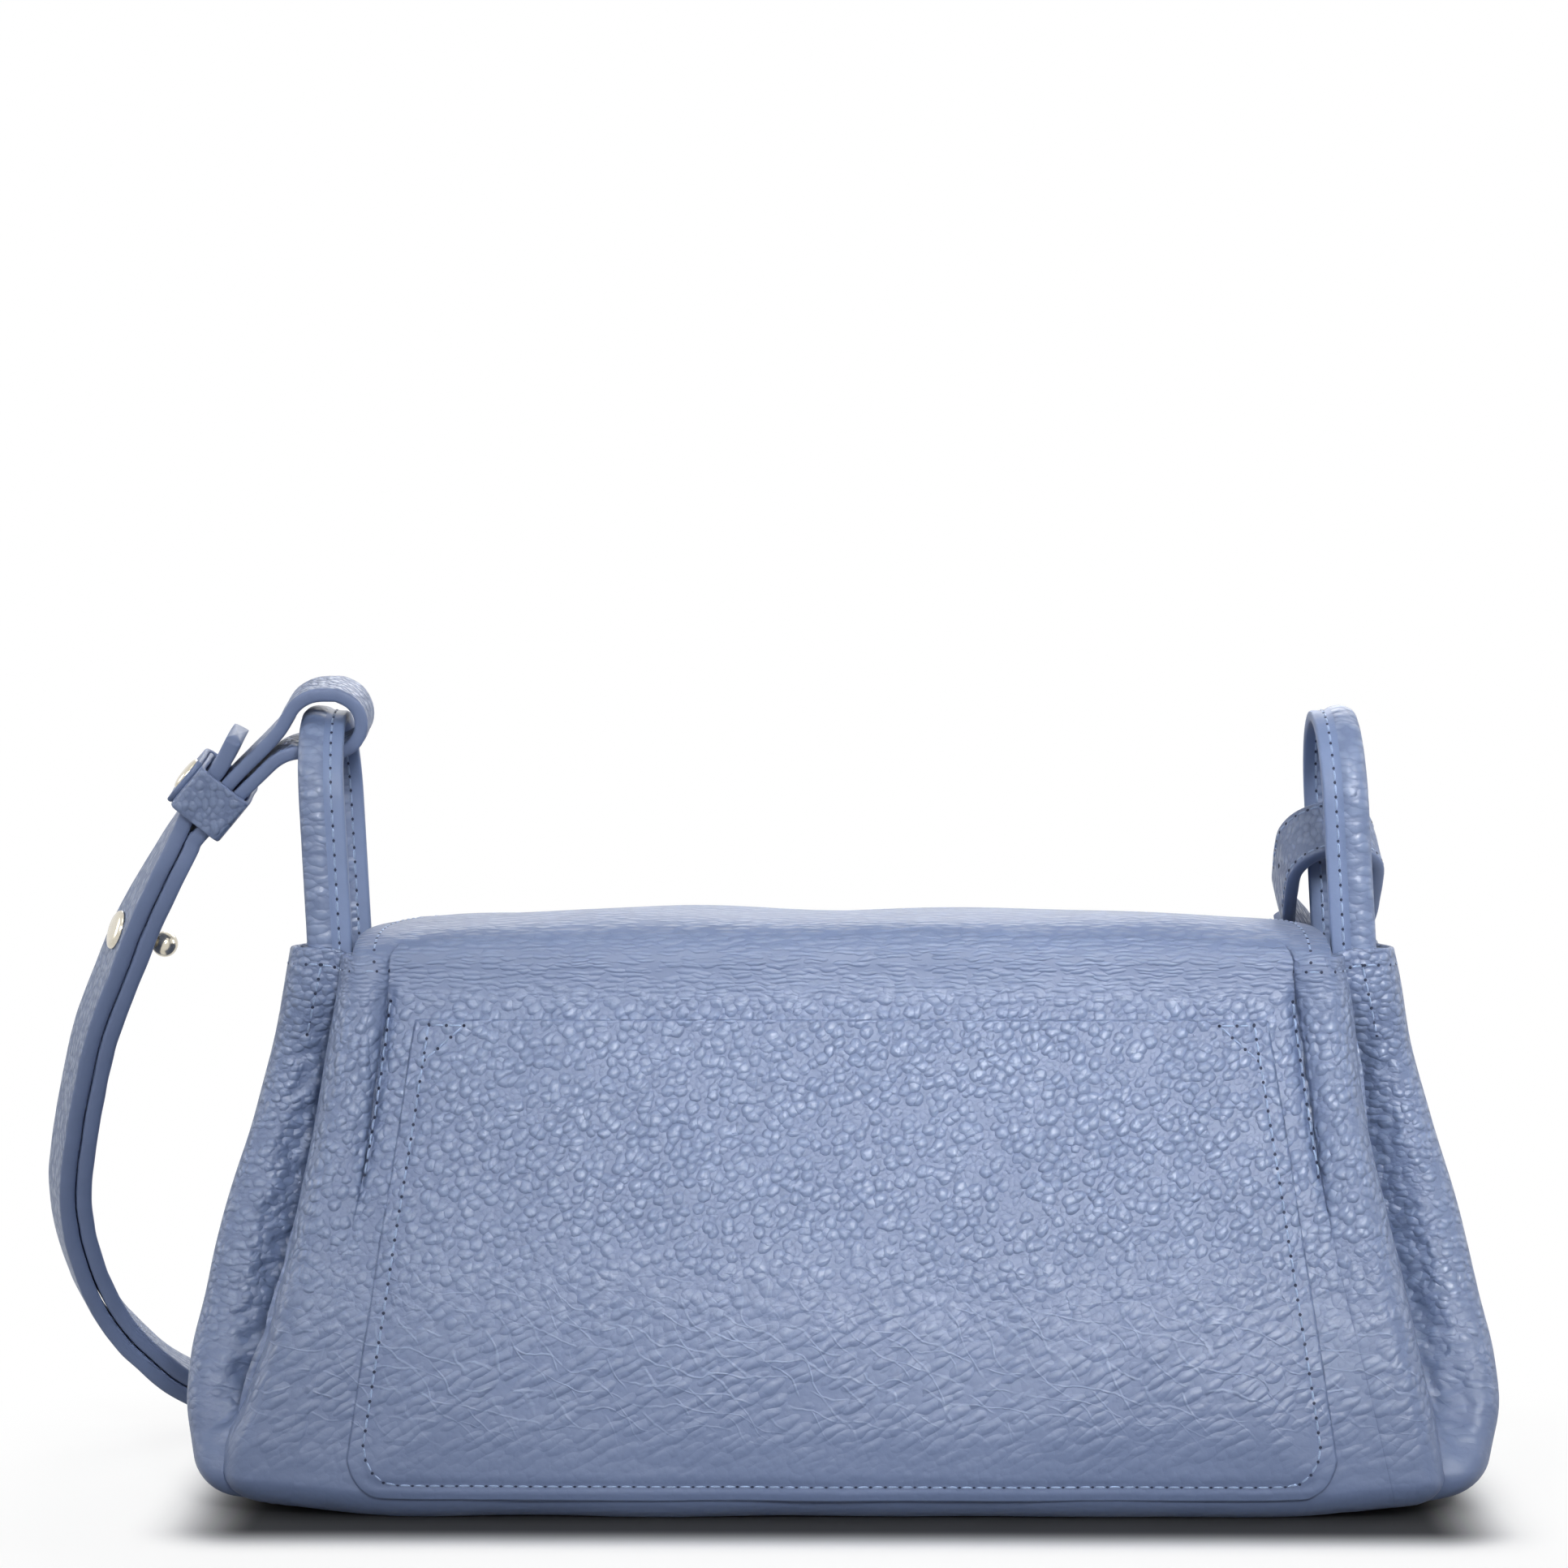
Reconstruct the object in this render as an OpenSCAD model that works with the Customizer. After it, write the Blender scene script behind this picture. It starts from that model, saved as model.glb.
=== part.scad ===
// Small trapeze shoulder bag of soft grained leather, with a flap, two sewn strap
// loops and a doubled shoulder strap that lies on the ground in front of the flap.
// X runs along the bag, the back panel faces -Y, the flap faces +Y and Z is up.
// The origin is the middle of the base.

/* [Bag] */
// Height of the side gussets' top edge
body_h = 126; // [116:1:136]
// Width over the side ridges at the top
ridge_top_w = 252; // [248:1:262]
// Greatest width over the side ridges
ridge_base_w = 302; // [290:1:320]
// Height at which the side ridges are widest
ridge_belly_z = 18; // [12:1:28]
// Width over the rolls of the back and front panels at the top
roll_top_w = 230; // [226:1:232]
// Width over the rolls of the back and front panels at the base
roll_base_w = 278; // [266:1:284]
// Depth of the valley between a roll and a ridge
valley_d = 6; // [3:0.5:7]
// Depth of the bag over the rolls at the top
top_d = 60; // [58:1:66]
// Depth of the bag at the base
base_d = 102; // [94:1:112]
// Depth of the gussets at the top
gusset_top_d = 49; // [49:0.5:52]
// Radius of the rounded bottom edge
foot_r = 7; // [4:0.5:9]
// Height above which the gussets' walls stand upright
upright_z = 107; // [96:1:109]

/* [Leather] */
// Thickness of the body leather
leather_t = 1.6; // [1.2:0.1:1.8]
// Thickness of the lining
lining_t = 0.8; // [0.5:0.1:1]
// Space between the leather and the lining
lining_gap = 0.9; // [0.8:0.05:1]
// Space between two pieces that lie on each other
seat = 0.2; // [0.1:0.05:0.3]
// Thickness of the stiff board in the base
board_t = 1.5; // [1:0.1:2.5]

/* [Flap] */
// Height of the back panel's top edge, where the flap turns
back_top_z = 124; // [114:1:126]
// Height of the front panel's top edge
front_top_z = 119; // [110:1:122]
// Height of the flap's crest
crest_z = 134; // [132:1:140]
// Drop of the crest towards the sides
crest_sag = 3; // [0:0.5:3.5]
// Half width of the flap at the back and over the crest
flap_root_x = 108; // [104:0.5:109]
// Half width of the flap at the front
flap_front_x = 101.5; // [90:0.5:102]
// Height of the flap's lower edge
flap_end_z = 36; // [26:1:48]
// Radius of the flap's lower corners
flap_corner_r = 16; // [6:1:26]
// Space between the flap's lining and the front panel
flap_stand = 3; // [3:0.1:5]

/* [Pockets] */
// Half width of the back pocket at its mouth
pocket_top_x = 96.5; // [80:0.5:98]
// Half width of the back pocket at the bottom
pocket_base_x = 111; // [100:0.5:113]
// Height of the back pocket's mouth
pocket_top_z = 110; // [96:1:112]
// Height of the back pocket's bottom edge
pocket_base_z = 5.4; // [3:0.2:10]
// Size of the cut bottom corners of the back pocket
pocket_chamfer = 8; // [3:0.5:14]
// Half width of the pocket inside
inner_pocket_x = 60; // [40:1:75]
// Heights of the lower and upper edge of the pocket inside
inner_pocket_z = [46, 104];

/* [Snap] */
// Diameter of the magnetic snap's discs
snap_d = 18; // [12:0.5:20]
// Thickness of the snap half on the flap
snap_male_t = 1.2; // [0.8:0.1:1.3]
// Thickness of the snap half on the front panel
snap_female_t = 1.4; // [1:0.1:1.5]
// Height of the snap's middle
snap_z = 59; // [54:1:63]
// Diameter of the washer behind the front snap half
snap_washer_d = 14; // [8:0.5:18]
// Thickness of the washer behind the front snap half
snap_washer_t = 0.5; // [0.3:0.1:0.6]

/* [Strap loops] */
// Distance of each loop from the middle of the bag
loop_x = 117.8; // [116:0.1:118]
// Width of the loop's band
loop_w = 10.5; // [8:0.1:10.6]
// Thickness of the loop's band
loop_t = 5; // [4:0.1:5]
// Radius of the arch, at the middle of the band
arch_r = 20; // [19:0.1:20]
// Height of the arch's centre
arch_z = 160; // [154:0.5:166]
// Lean of both loops along the bag
loop_lean = 3; // [0:0.5:3.5]
// Thickness of the loop's leather
loop_skin_t = 1.3; // [0.8:0.1:1.5]
// Length of the tab sewn inside the gusset
tab_l = 19; // [8:1:19]

/* [Strap] */
// Width of the strap
strap_w = 15; // [13:0.5:16]
// Thickness of one strap layer
strap_t = 3.7; // [3:0.1:3.8]
// Thickness of a strap end where it folds round a loop
hook_t = 3.1; // [2.6:0.1:3.2]
// Space between the two layers
layer_gap = 0.4; // [0.2:0.05:0.5]
// Length of a keeper along the strap
keeper_l = 12; // [9:0.5:13]
// Thickness of the keeper's leather
keeper_t = 1.3; // [1:0.1:1.6]
// Space between the keeper and the strap
keeper_gap = 0.35; // [0.3:0.05:0.6]
// Diameter of the keeper's rivet head
rivet_d = 8.4; // [6:0.2:10]
// Thickness of the keeper's rivet head
rivet_t = 1.1; // [0.8:0.1:1.4]
// Diameter of the stud's base disc
stud_base_d = 9.5; // [7:0.5:12]
// Thickness of the stud's base disc
stud_base_t = 1.3; // [1:0.1:2]
// Diameter of the stud's ball
stud_ball_d = 6.2; // [5:0.2:8]
// Diameter of the stud's shank
stud_shank_d = 3; // [2.5:0.1:3.4]
// Diameter of the holes in the strap
strap_hole_d = 3.6; // [3.5:0.1:4.6]

/* [Hidden] */
$fn = 48;
blue = "#7685ad";
lining_blue = "#56627f";
metal = "#cfc7b4";
board_grey = "#8d8d8a";
magnet_grey = "#9a9aa0";

// Vector helpers
function unit(v) = v / norm(v);
function across(v, t) = unit(v - (v * t) * t);
function reversed(v) = [for (i = [len(v) - 1:-1:0]) v[i]];
function mirrored(v) = [for (p = reversed(v)) [-p[0], p[1]]];
function clamped(v) = min(1, max(0, v));
function mix(a, b, k) = a + (b - a) * k;
function run(v, i) = unit(v[min(i + 1, len(v) - 1)] - v[max(i - 1, 0)]);

// A row of plan points, moved by d towards the bag's inside
function inset_row(row, d) = [for (i = [0:len(row) - 1])
    let (t = run(row, i)) row[i] + d * [-t[1], t[0]]];

// Points at n even steps between neighbours of a hand-chosen list, on one smooth curve
function eased(a, b, c, d, k) = 0.5 * (2 * b + (c - a) * k + (2 * a - 5 * b + 4 * c - d) * k * k
    + (3 * b - a - 3 * c + d) * k * k * k);
function smooth(v, n) = let (m = len(v) - 1) concat(
    [for (i = [0:m - 1]) for (j = [0:n - 1])
        eased(v[max(i - 1, 0)], v[i], v[i + 1], v[min(i + 2, m)], j / n)],
    [v[m]]);

// Closed shell between two grids of points with the same rows and columns
module shell(outer, inner) {
    rows = len(outer);
    cols = len(outer[0]);
    half = rows * cols;
    points = concat([for (r = outer) for (p = r) p], [for (r = inner) for (p = r) p]);
    function at(side, r, c) = side * half + r * cols + c;
    skin = [for (r = [0:rows - 2]) for (c = [0:cols - 2])
        [at(0, r, c), at(0, r, c + 1), at(0, r + 1, c + 1), at(0, r + 1, c)]];
    back = [for (r = [0:rows - 2]) for (c = [0:cols - 2])
        [at(1, r, c), at(1, r + 1, c), at(1, r + 1, c + 1), at(1, r, c + 1)]];
    ends = [for (r = [0:rows - 2]) for (side = [0, 1])
        let (c = side * (cols - 1), q = [at(0, r, c), at(0, r + 1, c), at(1, r + 1, c), at(1, r, c)])
        side == 0 ? q : reversed(q)];
    rims = [for (c = [0:cols - 2]) for (side = [0, 1])
        let (r = side * (rows - 1), q = [at(0, r, c + 1), at(0, r, c), at(1, r, c), at(1, r, c + 1)])
        side == 0 ? q : reversed(q)];
    polyhedron(points, [for (q = concat(skin, back, ends, rims)) for (k = [0, 1])
        k == 0 ? [q[2], q[1], q[0]] : [q[3], q[2], q[0]]], convexity = 10);
}

// Sizes of the bag at a height
function fall(z) = clamped(1 - z / body_h);
function foot(z) = z >= foot_r ? 0 : foot_r - sqrt(foot_r * foot_r - pow(foot_r - z, 2));
function back_y(z) = mix(top_d, base_d, pow(fall(z), 0.75)) / 2 - foot(z);
function ridge_x(z) = mix(ridge_base_w, ridge_top_w,
    pow(clamped((z - ridge_belly_z) / (body_h - ridge_belly_z)), 1.35)) / 2 - foot(z);
function roll_x(z) = mix(roll_top_w, roll_base_w, pow(fall(z), 1.15)) / 2 - foot(z);
function valley_y(z) = mix(gusset_top_d, base_d - 2 * foot_edge,
    clamped(1 - z / upright_z)) / 2 - foot(z);
function valley_depth(z) = valley_d * clamped((z - 6) / 26);
foot_edge = 4;

// Plan points of the back panel's right half, from the middle to the valley
function back_half(z) = let (b = back_y(z), x = roll_x(z), r = (b - valley_y(z)) / 2,
        d = valley_depth(z)) concat(
    [for (k = [0, 0.25, 0.5, 0.75, 0.92]) [k * (x - r), -b]],
    [for (a = [90, 60, 30, 0, -30 * d / valley_d]) [x - r + r * cos(a), -b + r - r * sin(a)]],
    [[x - d, -valley_y(z)]]);

// Plan points of the right gusset, from the back valley round the ridge to the front valley
gusset_steps = 8;
function gusset_row(z) = let (x = roll_x(z) - valley_depth(z), y = valley_y(z) - seat,
        e = mix(0.22, 0.7, clamped(1.6 * (1 - z / upright_z))))
    [for (i = [-gusset_steps:gusset_steps]) let (a = 90 * i / gusset_steps)
        [x + (ridge_x(z) - x) * pow(cos(a), e), sign(a) * y * pow(abs(sin(a)), e)]];
function back_row(z) = concat(mirrored(back_half(z)),
    [for (i = [1:len(back_half(z)) - 1]) back_half(z)[i]]);

// Heights of the rows of points, from the ground to a top edge
function heights(top) = concat([0, 0.17 * foot_r, 0.5 * foot_r],
    [for (k = [0, 0.11, 0.27, 0.43, 0.61, 0.79, 0.91, 1]) mix(foot_r, upright_z, k)],
    [for (k = [0.5, 1]) mix(upright_z, top, k)]);
function lifted(row, z) = [for (p = row) [p[0], p[1], z]];

module wall(top, gusset = false) {
    rows = [for (z = heights(top)) gusset ? gusset_row(z) : back_row(z)];
    shell([for (i = [0:len(rows) - 1]) lifted(rows[i], heights(top)[i])],
        [for (i = [0:len(rows) - 1]) lifted(inset_row(rows[i], leather_t), heights(top)[i])]);
}

module back_panel() {
    color(blue) wall(back_top_z);
}

module front_panel() {
    color(blue) rotate([0, 0, 180]) wall(front_top_z);
}

module gusset(side) {
    color(blue) rotate([0, 0, side > 0 ? 0 : 180]) wall(body_h, gusset = true);
}

// Outline of the base plate, d inside the walls' bottom edge
function base_outline(d) = let (side = inset_row(gusset_row(0), d),
        ends = [for (i = [3:len(side) - 4]) side[i]],
        edge = [for (k = [-1, 1]) [k * (roll_x(0) - 9), d - back_y(0)]],
        low = [roll_x(0) - 1, d + 1 - valley_y(0)], high = [low[0], -low[1]])
    concat(edge, [low], ends, [high], -edge, [-low], -ends, [-high]);

module base_panel() {
    color(blue) linear_extrude(leather_t) polygon(base_outline(leather_t + 2 * seat));
}

board_z = leather_t + seat;
lining_base_z = board_z + board_t + seat;
lining_low_z = lining_base_z + lining_t + seat;
lining_corner = 3;
board_inset = 4;

module base_board() {
    color(board_grey) translate([0, 0, board_z]) linear_extrude(board_t)
        polygon(base_outline(leather_t + board_inset));
}

// Lining: outer faces, a little inside the leather
function lining_x(z) = roll_x(z) - valley_depth(z) - lining_corner;
function lining_y(z) = back_y(z) - leather_t - lining_gap;
lining_top_back = back_top_z - 2;
lining_top_front = front_top_z - 2;
function lining_heights(top) = [for (k = [0, 0.05, 0.15, 0.3, 0.45, 0.6, 0.7, 0.8, 0.88, 0.95, 1])
    mix(lining_low_z, top, k)];

module lining_wall(top) {
    shell([for (z = lining_heights(top)) [for (k = [-1, 0, 1]) [k * lining_x(z), -lining_y(z), z]]],
        [for (z = lining_heights(top)) [for (k = [-1, 0, 1])
            [k * lining_x(z), -lining_y(z) + lining_t, z]]]);
}

module lining_side(side) {
    top = lining_top_front;
    color(lining_blue) rotate([0, 0, side > 0 ? 0 : 180])
        shell([for (z = lining_heights(top)) [for (k = [-1, 0, 1])
                [lining_x(z), k * (lining_y(z) - lining_t - 2 * seat), z]]],
            [for (z = lining_heights(top)) [for (k = [-1, 0, 1])
                [lining_x(z) - lining_t, k * (lining_y(z) - lining_t - 2 * seat), z]]]);
}

module lining_back() {
    color(lining_blue) lining_wall(lining_top_back);
}

module lining_front() {
    color(lining_blue) rotate([0, 0, 180]) lining_wall(lining_top_front);
}

module lining_base() {
    x = lining_x(lining_base_z);
    y = lining_y(lining_base_z);
    color(lining_blue) translate([-x, -y, lining_base_z]) cube([2 * x, 2 * y, lining_t]);
}

module inner_pocket() {
    face = lining_t + 2 * seat;
    levels = [for (k = [0, 0.25, 0.5, 0.75, 1]) mix(inner_pocket_z[0], inner_pocket_z[1], k)];
    function sheet_at(d) = [for (z = levels) [for (k = [-1, 0, 1])
        [k * inner_pocket_x, -lining_y(z) + face + d, z]]];
    color(lining_blue) shell(sheet_at(0), sheet_at(lining_t));
}

// Back pocket: a patch whose face follows the back panel
pocket_levels = concat([pocket_base_z, pocket_base_z + pocket_chamfer],
    [for (k = [0.2, 0.36, 0.54, 0.7, 0.86, 1])
        mix(pocket_base_z + pocket_chamfer, pocket_top_z, k)]);
function pocket_half(z) = mix(pocket_base_x, pocket_top_x,
        (z - pocket_base_z) / (pocket_top_z - pocket_base_z))
    - max(0, pocket_base_z + pocket_chamfer - z);

module back_pocket_panel() {
    function sheet_at(d) = [for (z = pocket_levels) [for (k = [-1, -0.5, 0, 0.5, 1])
        [k * pocket_half(z), -back_y(z) - d, z]]];
    color(blue) shell(sheet_at(2 * seat + leather_t), sheet_at(2 * seat));
}

// Flap: a line through the middle of its leather, from the hinge over the crest to the front
hinge_gap = 0.3;
hinge_y = -(back_y(back_top_z) - leather_t / 2);
hinge_z = back_top_z + hinge_gap + leather_t / 2;
flap_mid = crest_z - leather_t / 2;
flap_cover = leather_t / 2 + seat + lining_t + flap_stand;
shoulder_y = back_y(front_top_z) + flap_cover;
flap_turn = [[hinge_y, hinge_z], [hinge_y + 0.6, mix(hinge_z, flap_mid, 0.4)],
    [hinge_y + 3.4, mix(hinge_z, flap_mid, 0.75)], [hinge_y + 9, mix(hinge_z, flap_mid, 0.94)],
    [-12, flap_mid], [0, flap_mid + 0.2], [12, flap_mid], [shoulder_y - 11, flap_mid - 1.2],
    [shoulder_y - 5, flap_mid - 3.6], [shoulder_y - 1.4, mix(flap_mid, front_top_z, 0.6)]];
flap_drop = [for (k = [0, 0.14, 0.28, 0.42, 0.56, 0.7, 0.84, 1])
    let (z = mix(front_top_z, flap_end_z + flap_corner_r, k)) [back_y(z) + flap_cover, z]];
flap_corner = [for (a = [25, 50, 75, 90]) let (z = flap_end_z + flap_corner_r * (1 - sin(a)))
    [back_y(z) + flap_cover, z]];
flap_line = concat(flap_turn, flap_drop, flap_corner);
function flap_half(p) = mix(flap_root_x, flap_front_x, clamped((p[0] + 6) / 22))
    - (p[1] < flap_end_z + flap_corner_r && p[0] > 0 ? flap_corner_r
        - sqrt(pow(flap_corner_r, 2) - pow(flap_end_z + flap_corner_r - p[1], 2)) : 0);
function flap_sag(p) = crest_sag * clamped((p[1] - front_top_z - 6) / 8)
    * clamped((p[0] - hinge_y) / 10);

// A sheet along the flap's line, d outside it, narrowed by trim and without its first points
function flap_sheet(d, trim, first) = [for (i = [first:len(flap_line) - 1 - sign(first)])
    let (q = flap_line[i], t = run(flap_line, i), p = q + d * [-t[1], t[0]], x = flap_half(q) - trim)
    [for (k = [-1, -0.7, -0.35, 0, 0.35, 0.7, 1])
        [k * x, p[0], p[1] - flap_sag(q) * k * k]]];

module flap() {
    r = leather_t / 2;
    color(blue) {
        shell(flap_sheet(r, 0, 0), flap_sheet(-r, 0, 0));
        translate([-flap_root_x, hinge_y, hinge_z]) rotate([0, 90, 0])
            cylinder(r = r, h = 2 * flap_root_x);
    }
}

module flap_lining() {
    outer = -leather_t / 2 - seat;
    color(lining_blue) shell(flap_sheet(outer, 1, 3), flap_sheet(outer - lining_t, 1, 3));
}

// Magnetic snap, square to the front panel
snap_step = 9;
snap_tilt = atan((back_y(snap_z - snap_step) - back_y(snap_z + snap_step)) / (2 * snap_step));
module on_front(d) {
    translate([0, (back_y(snap_z - snap_step) + back_y(snap_z + snap_step)) / 2, snap_z])
        rotate([snap_tilt - 90, 0, 0]) translate([0, 0, d]) children();
}

module snap_female() {
    color(magnet_grey) on_front(seat) cylinder(d = snap_d, h = snap_female_t);
}

module snap_male() {
    color(magnet_grey) on_front(flap_stand - seat - snap_male_t) cylinder(d = snap_d, h = snap_male_t);
}

module snap_washer() {
    color(magnet_grey) on_front(-leather_t - seat - snap_washer_t)
        cylinder(d = snap_washer_d, h = snap_washer_t);
}

// Strap loops: an arch on two legs, whose ends are tabs inside the gusset
module band(w, t) {
    r = t * 0.4;
    square([w - 2 * r, t], center = true);
    square([w, t - 2 * r], center = true);
    for (x = [-1, 1], y = [-1, 1]) translate([x * (w / 2 - r), y * (t / 2 - r)]) circle(r);
}

module loop_section(cut) {
    if (cut > 0) band(loop_w - 2 * cut, loop_t - 2 * cut);
    else difference() {
        band(loop_w, loop_t);
        band(loop_w - 2 * loop_skin_t, loop_t - 2 * loop_skin_t);
    }
}

lean_angle = asin(loop_lean / (arch_z + arch_r - body_h));
module loop(side, cut = 0) {
    translate([side * loop_x, 0, body_h]) rotate([0, -lean_angle, 0]) translate([0, 0, -body_h]) {
        translate([0, 0, arch_z]) rotate([90, 0, 90]) rotate_extrude(angle = 180)
            translate([arch_r, 0]) rotate(90) loop_section(cut);
        for (y = [-1, 1]) translate([0, y * arch_r, body_h - tab_l])
            linear_extrude(arch_z - body_h + tab_l) loop_section(cut);
    }
}

module left_loop() {
    color(blue) loop(-1);
}

module right_loop() {
    color(blue) loop(1);
}

core_gap = 0.1;
module left_loop_core() {
    color(board_grey) loop(-1, loop_skin_t + core_gap);
}

module right_loop_core() {
    color(board_grey) loop(1, loop_skin_t + core_gap);
}

// Strap: places where its two ends fold round the loops.
// A hook frame is [centre, across the strap, away from the bag's middle, towards the bend]
left_lean = 13;
left_hook = let (y = -arch_r * sin(left_lean), z = arch_z + arch_r * cos(left_lean))
    [[-loop_x - (z - body_h) * tan(lean_angle), y, z],
    [0, cos(left_lean), sin(left_lean)], [1, 0, 0], [0, -sin(left_lean), cos(left_lean)]];
right_drop = 18;
right_across = unit([-0.12, 0.66, 0.74]);
right_out = across([1, 0, 0], right_across);
right_hook = [[loop_x - 1.6, arch_r, arch_z - right_drop], right_across, right_out,
    cross(right_out, right_across)];
function on_hook(h, p) = h[0] + p[0] * h[2] + p[1] * h[3];

// Layers side by side inside a keeper: tail, folded end, and the layer that runs through
tail_off = (strap_t + hook_t) / 2 + layer_gap / 2 + 0.1;
through_off = hook_t + layer_gap / 2 + 0.1;
pair_off = (strap_t + layer_gap) / 2;

// Left hook: places in the plane of the bend, from the folded end to the layer beneath
left_keeper_p = [-26.3, -19];
left_run = unit([-0.64, -0.77]);
left_side = [-left_run[1], left_run[0]];
hook_r = 6.9;
hook_a = loop_w / 2 - 2.85;
left_up = [left_keeper_p + 0.5 * left_run, left_keeper_p - 2 * left_run, [-21.5, -13.6], [-17.1, -9.2],
    [-12.9, -5], [-9.6, -1.4], [-7.9, 1.8], [-5.6, 4.8], [-2, 6.7]];
left_under = [[-3, -6.6], [-7, -6.9], [-10.6, -8.5], [-14.5, -12], [-19, -16.4],
    left_keeper_p + through_off * left_side + left_run];
function bend(a, b, r) = [for (k = [75:-30:-75]) [a + r * cos(k), b + r * sin(k)]];
left_fold = [for (p = concat(left_up, [[hook_a, 0.1 + hook_r]], bend(hook_a, 0.1, hook_r),
    [[hook_a, 0.1 - hook_r]], left_under)) on_hook(left_hook, p)];
left_tail_a = left_keeper_p - tail_off * left_side;
left_tail = [for (p = [left_tail_a + left_run, left_tail_a - 7 * left_run,
    left_tail_a - [-8.6, -12.8]]) on_hook(left_hook, p)];

// Right hook: the bend faces the back, and both arms close towards the keeper
right_keeper_b = -36;
arm_a = loop_w / 2 + hook_t / 2 + 3.35;
right_fold = [for (p = concat(
    [[0, right_keeper_b - 0.5], [0, right_keeper_b + 2], [0, -29.5], [-3.2, -22], [-7.6, -15],
        [-arm_a + 0.3, -9], [-arm_a, -2]],
    [for (k = [180:-22.5:0]) [arm_a * cos(k), 7 + arm_a * sin(k)]],
    [[arm_a, -2], [arm_a - 0.2, -9], [8.6, -15], [6, -22], [through_off + 0.3, -29],
        [through_off, right_keeper_b - 1]])) on_hook(right_hook, p)];
right_tail = [for (p = [[-tail_off, right_keeper_b - 1], [-tail_off - 0.1, -29.5], [-5.7, -26],
    [-8.4, -22]]) on_hook(right_hook, p)];

// Route of the doubled strap between the keepers, as shares of the bag's half width,
// half depth and the arch's height above the strap that lies on the ground
ground_z = strap_t + layer_gap / 2;
route_shares = [[-1.053, 0.04, 0.898], [-1.1, 0.1, 0.817], [-1.129, 0.157, 0.756],
    [-1.164, 0.235, 0.679], [-1.189, 0.314, 0.615], [-1.222, 0.47, 0.493], [-1.242, 0.627, 0.388],
    [-1.235, 0.804, 0.285], [-1.202, 1, 0.182], [-1.149, 1.137, 0.11], [-1.089, 1.255, 0.058],
    [-0.993, 1.363, 0.02], [-0.86, 1.46, 0.002], [-0.695, 1.55, 0], [-0.4, 1.667, 0],
    [-0.1, 1.755, 0], [0.165, 1.79, 0.002], [0.364, 1.8, 0.02], [0.53, 1.8, 0.07],
    [0.642, 1.78, 0.16], [0.71, 1.73, 0.276], [0.745, 1.64, 0.411], [0.76, 1.5, 0.532],
    [0.764, 1.32, 0.638]];
left_keeper_at = on_hook(left_hook, left_keeper_p);
right_keeper_at = on_hook(right_hook, [0, right_keeper_b]);
left_dir = left_run[0] * left_hook[2] + left_run[1] * left_hook[3];
right_dir = right_hook[3];
function placed(s) = [s[0] * ridge_base_w / 2, s[1] * base_d / 2,
    ground_z + s[2] * (arch_z - ground_z)];
straight = 10;
route = smooth(concat([left_keeper_at, left_keeper_at + straight * left_dir],
    [for (s = route_shares) placed(s)],
    [right_keeper_at - straight * right_dir, right_keeper_at]), 3);
last = len(route) - 1;

// Direction across the strap at a share k of the route
across_keys = [left_hook[1], [-0.35, 0.91, 0.2], [-0.35, 0.91, 0.2], [0, 1, 0], [0, 1, 0],
    [0, 0.98, 0.2], [-0.1, 0.75, 0.66], right_hook[1]];
across_at = [0, 0.12, 0.44, 0.5, 0.68, 0.74, 0.88, 1];
function across_hint(k) = [for (c = [0:2])
    lookup(k, [for (i = [0:len(across_at) - 1]) [across_at[i], across_keys[i][c]]])];
function route_t(i) = run(route, i);
function route_w(i) = across(across_hint(i / last), route_t(i));
function route_n(i) = cross(route_w(i), route_t(i));

// Points of one layer: the outer layer is on side 1 and the inner layer on side -1
function layer(side) = [for (i = [3:last - 3])
    [route[i] + side * pair_off * route_n(i), route_w(i), strap_t]];
function hook_rows(points, w) = [for (p = points) [p, w, hook_t]];
function tail_rows(points, w) = [for (p = points) [p, w, strap_t]];
inner_rows = concat(hook_rows(left_fold, left_hook[1]), layer(-1),
    tail_rows(right_tail, right_hook[1]));
outer_rows = concat(tail_rows(reversed(left_tail), left_hook[1]), layer(1),
    hook_rows(reversed(right_fold), right_hook[1]));

// A flat band through rows of [point, direction across, thickness]
module ribbon(rows) {
    places = [for (r = rows) r[0]];
    frames = [for (i = [0:len(rows) - 1]) let (t = run(places, i), w = across(rows[i][1], t))
        [w * strap_w / 2, cross(w, t) * rows[i][2] / 2]];
    function edge(i, a, b) = places[i] + a * frames[i][0] + b * frames[i][1];
    shell([for (i = [0:len(rows) - 1]) [for (a = [-1, 1]) edge(i, a, 1)]],
        [for (i = [0:len(rows) - 1]) [for (a = [-1, 1]) edge(i, a, -1)]]);
}

// Turns children so that X lies along w and Y along n
module turned(w, n) {
    z = cross(w, n);
    rotate([atan2(n[2], z[2]), -asin(w[2]), atan2(w[1], w[0])]) children();
}

left_stud_i = 10;
right_stud_i = last - 12;
module at_stud(i) {
    translate(route[i]) turned(route_w(i), route_n(i)) rotate([-90, 0, 0]) children();
}

module stud_holes() {
    for (i = [left_stud_i, right_stud_i])
        at_stud(i) cylinder(d = strap_hole_d, h = 6 * strap_t, center = true);
}

// Adjustment hole in the right fold, on the arm towards the bag's middle
hook_hole_b = 3;
module hook_hole() {
    translate(on_hook(right_hook, [-arm_a, hook_hole_b]))
        turned(right_hook[1], right_hook[2]) rotate([-90, 0, 0])
        cylinder(d = strap_hole_d, h = 3 * hook_t, center = true);
}

module inner_strap() {
    color(blue) difference() {
        ribbon(inner_rows);
        stud_holes();
    }
}

module outer_strap() {
    color(blue) difference() {
        ribbon(outer_rows);
        stud_holes();
        hook_hole();
    }
}

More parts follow.
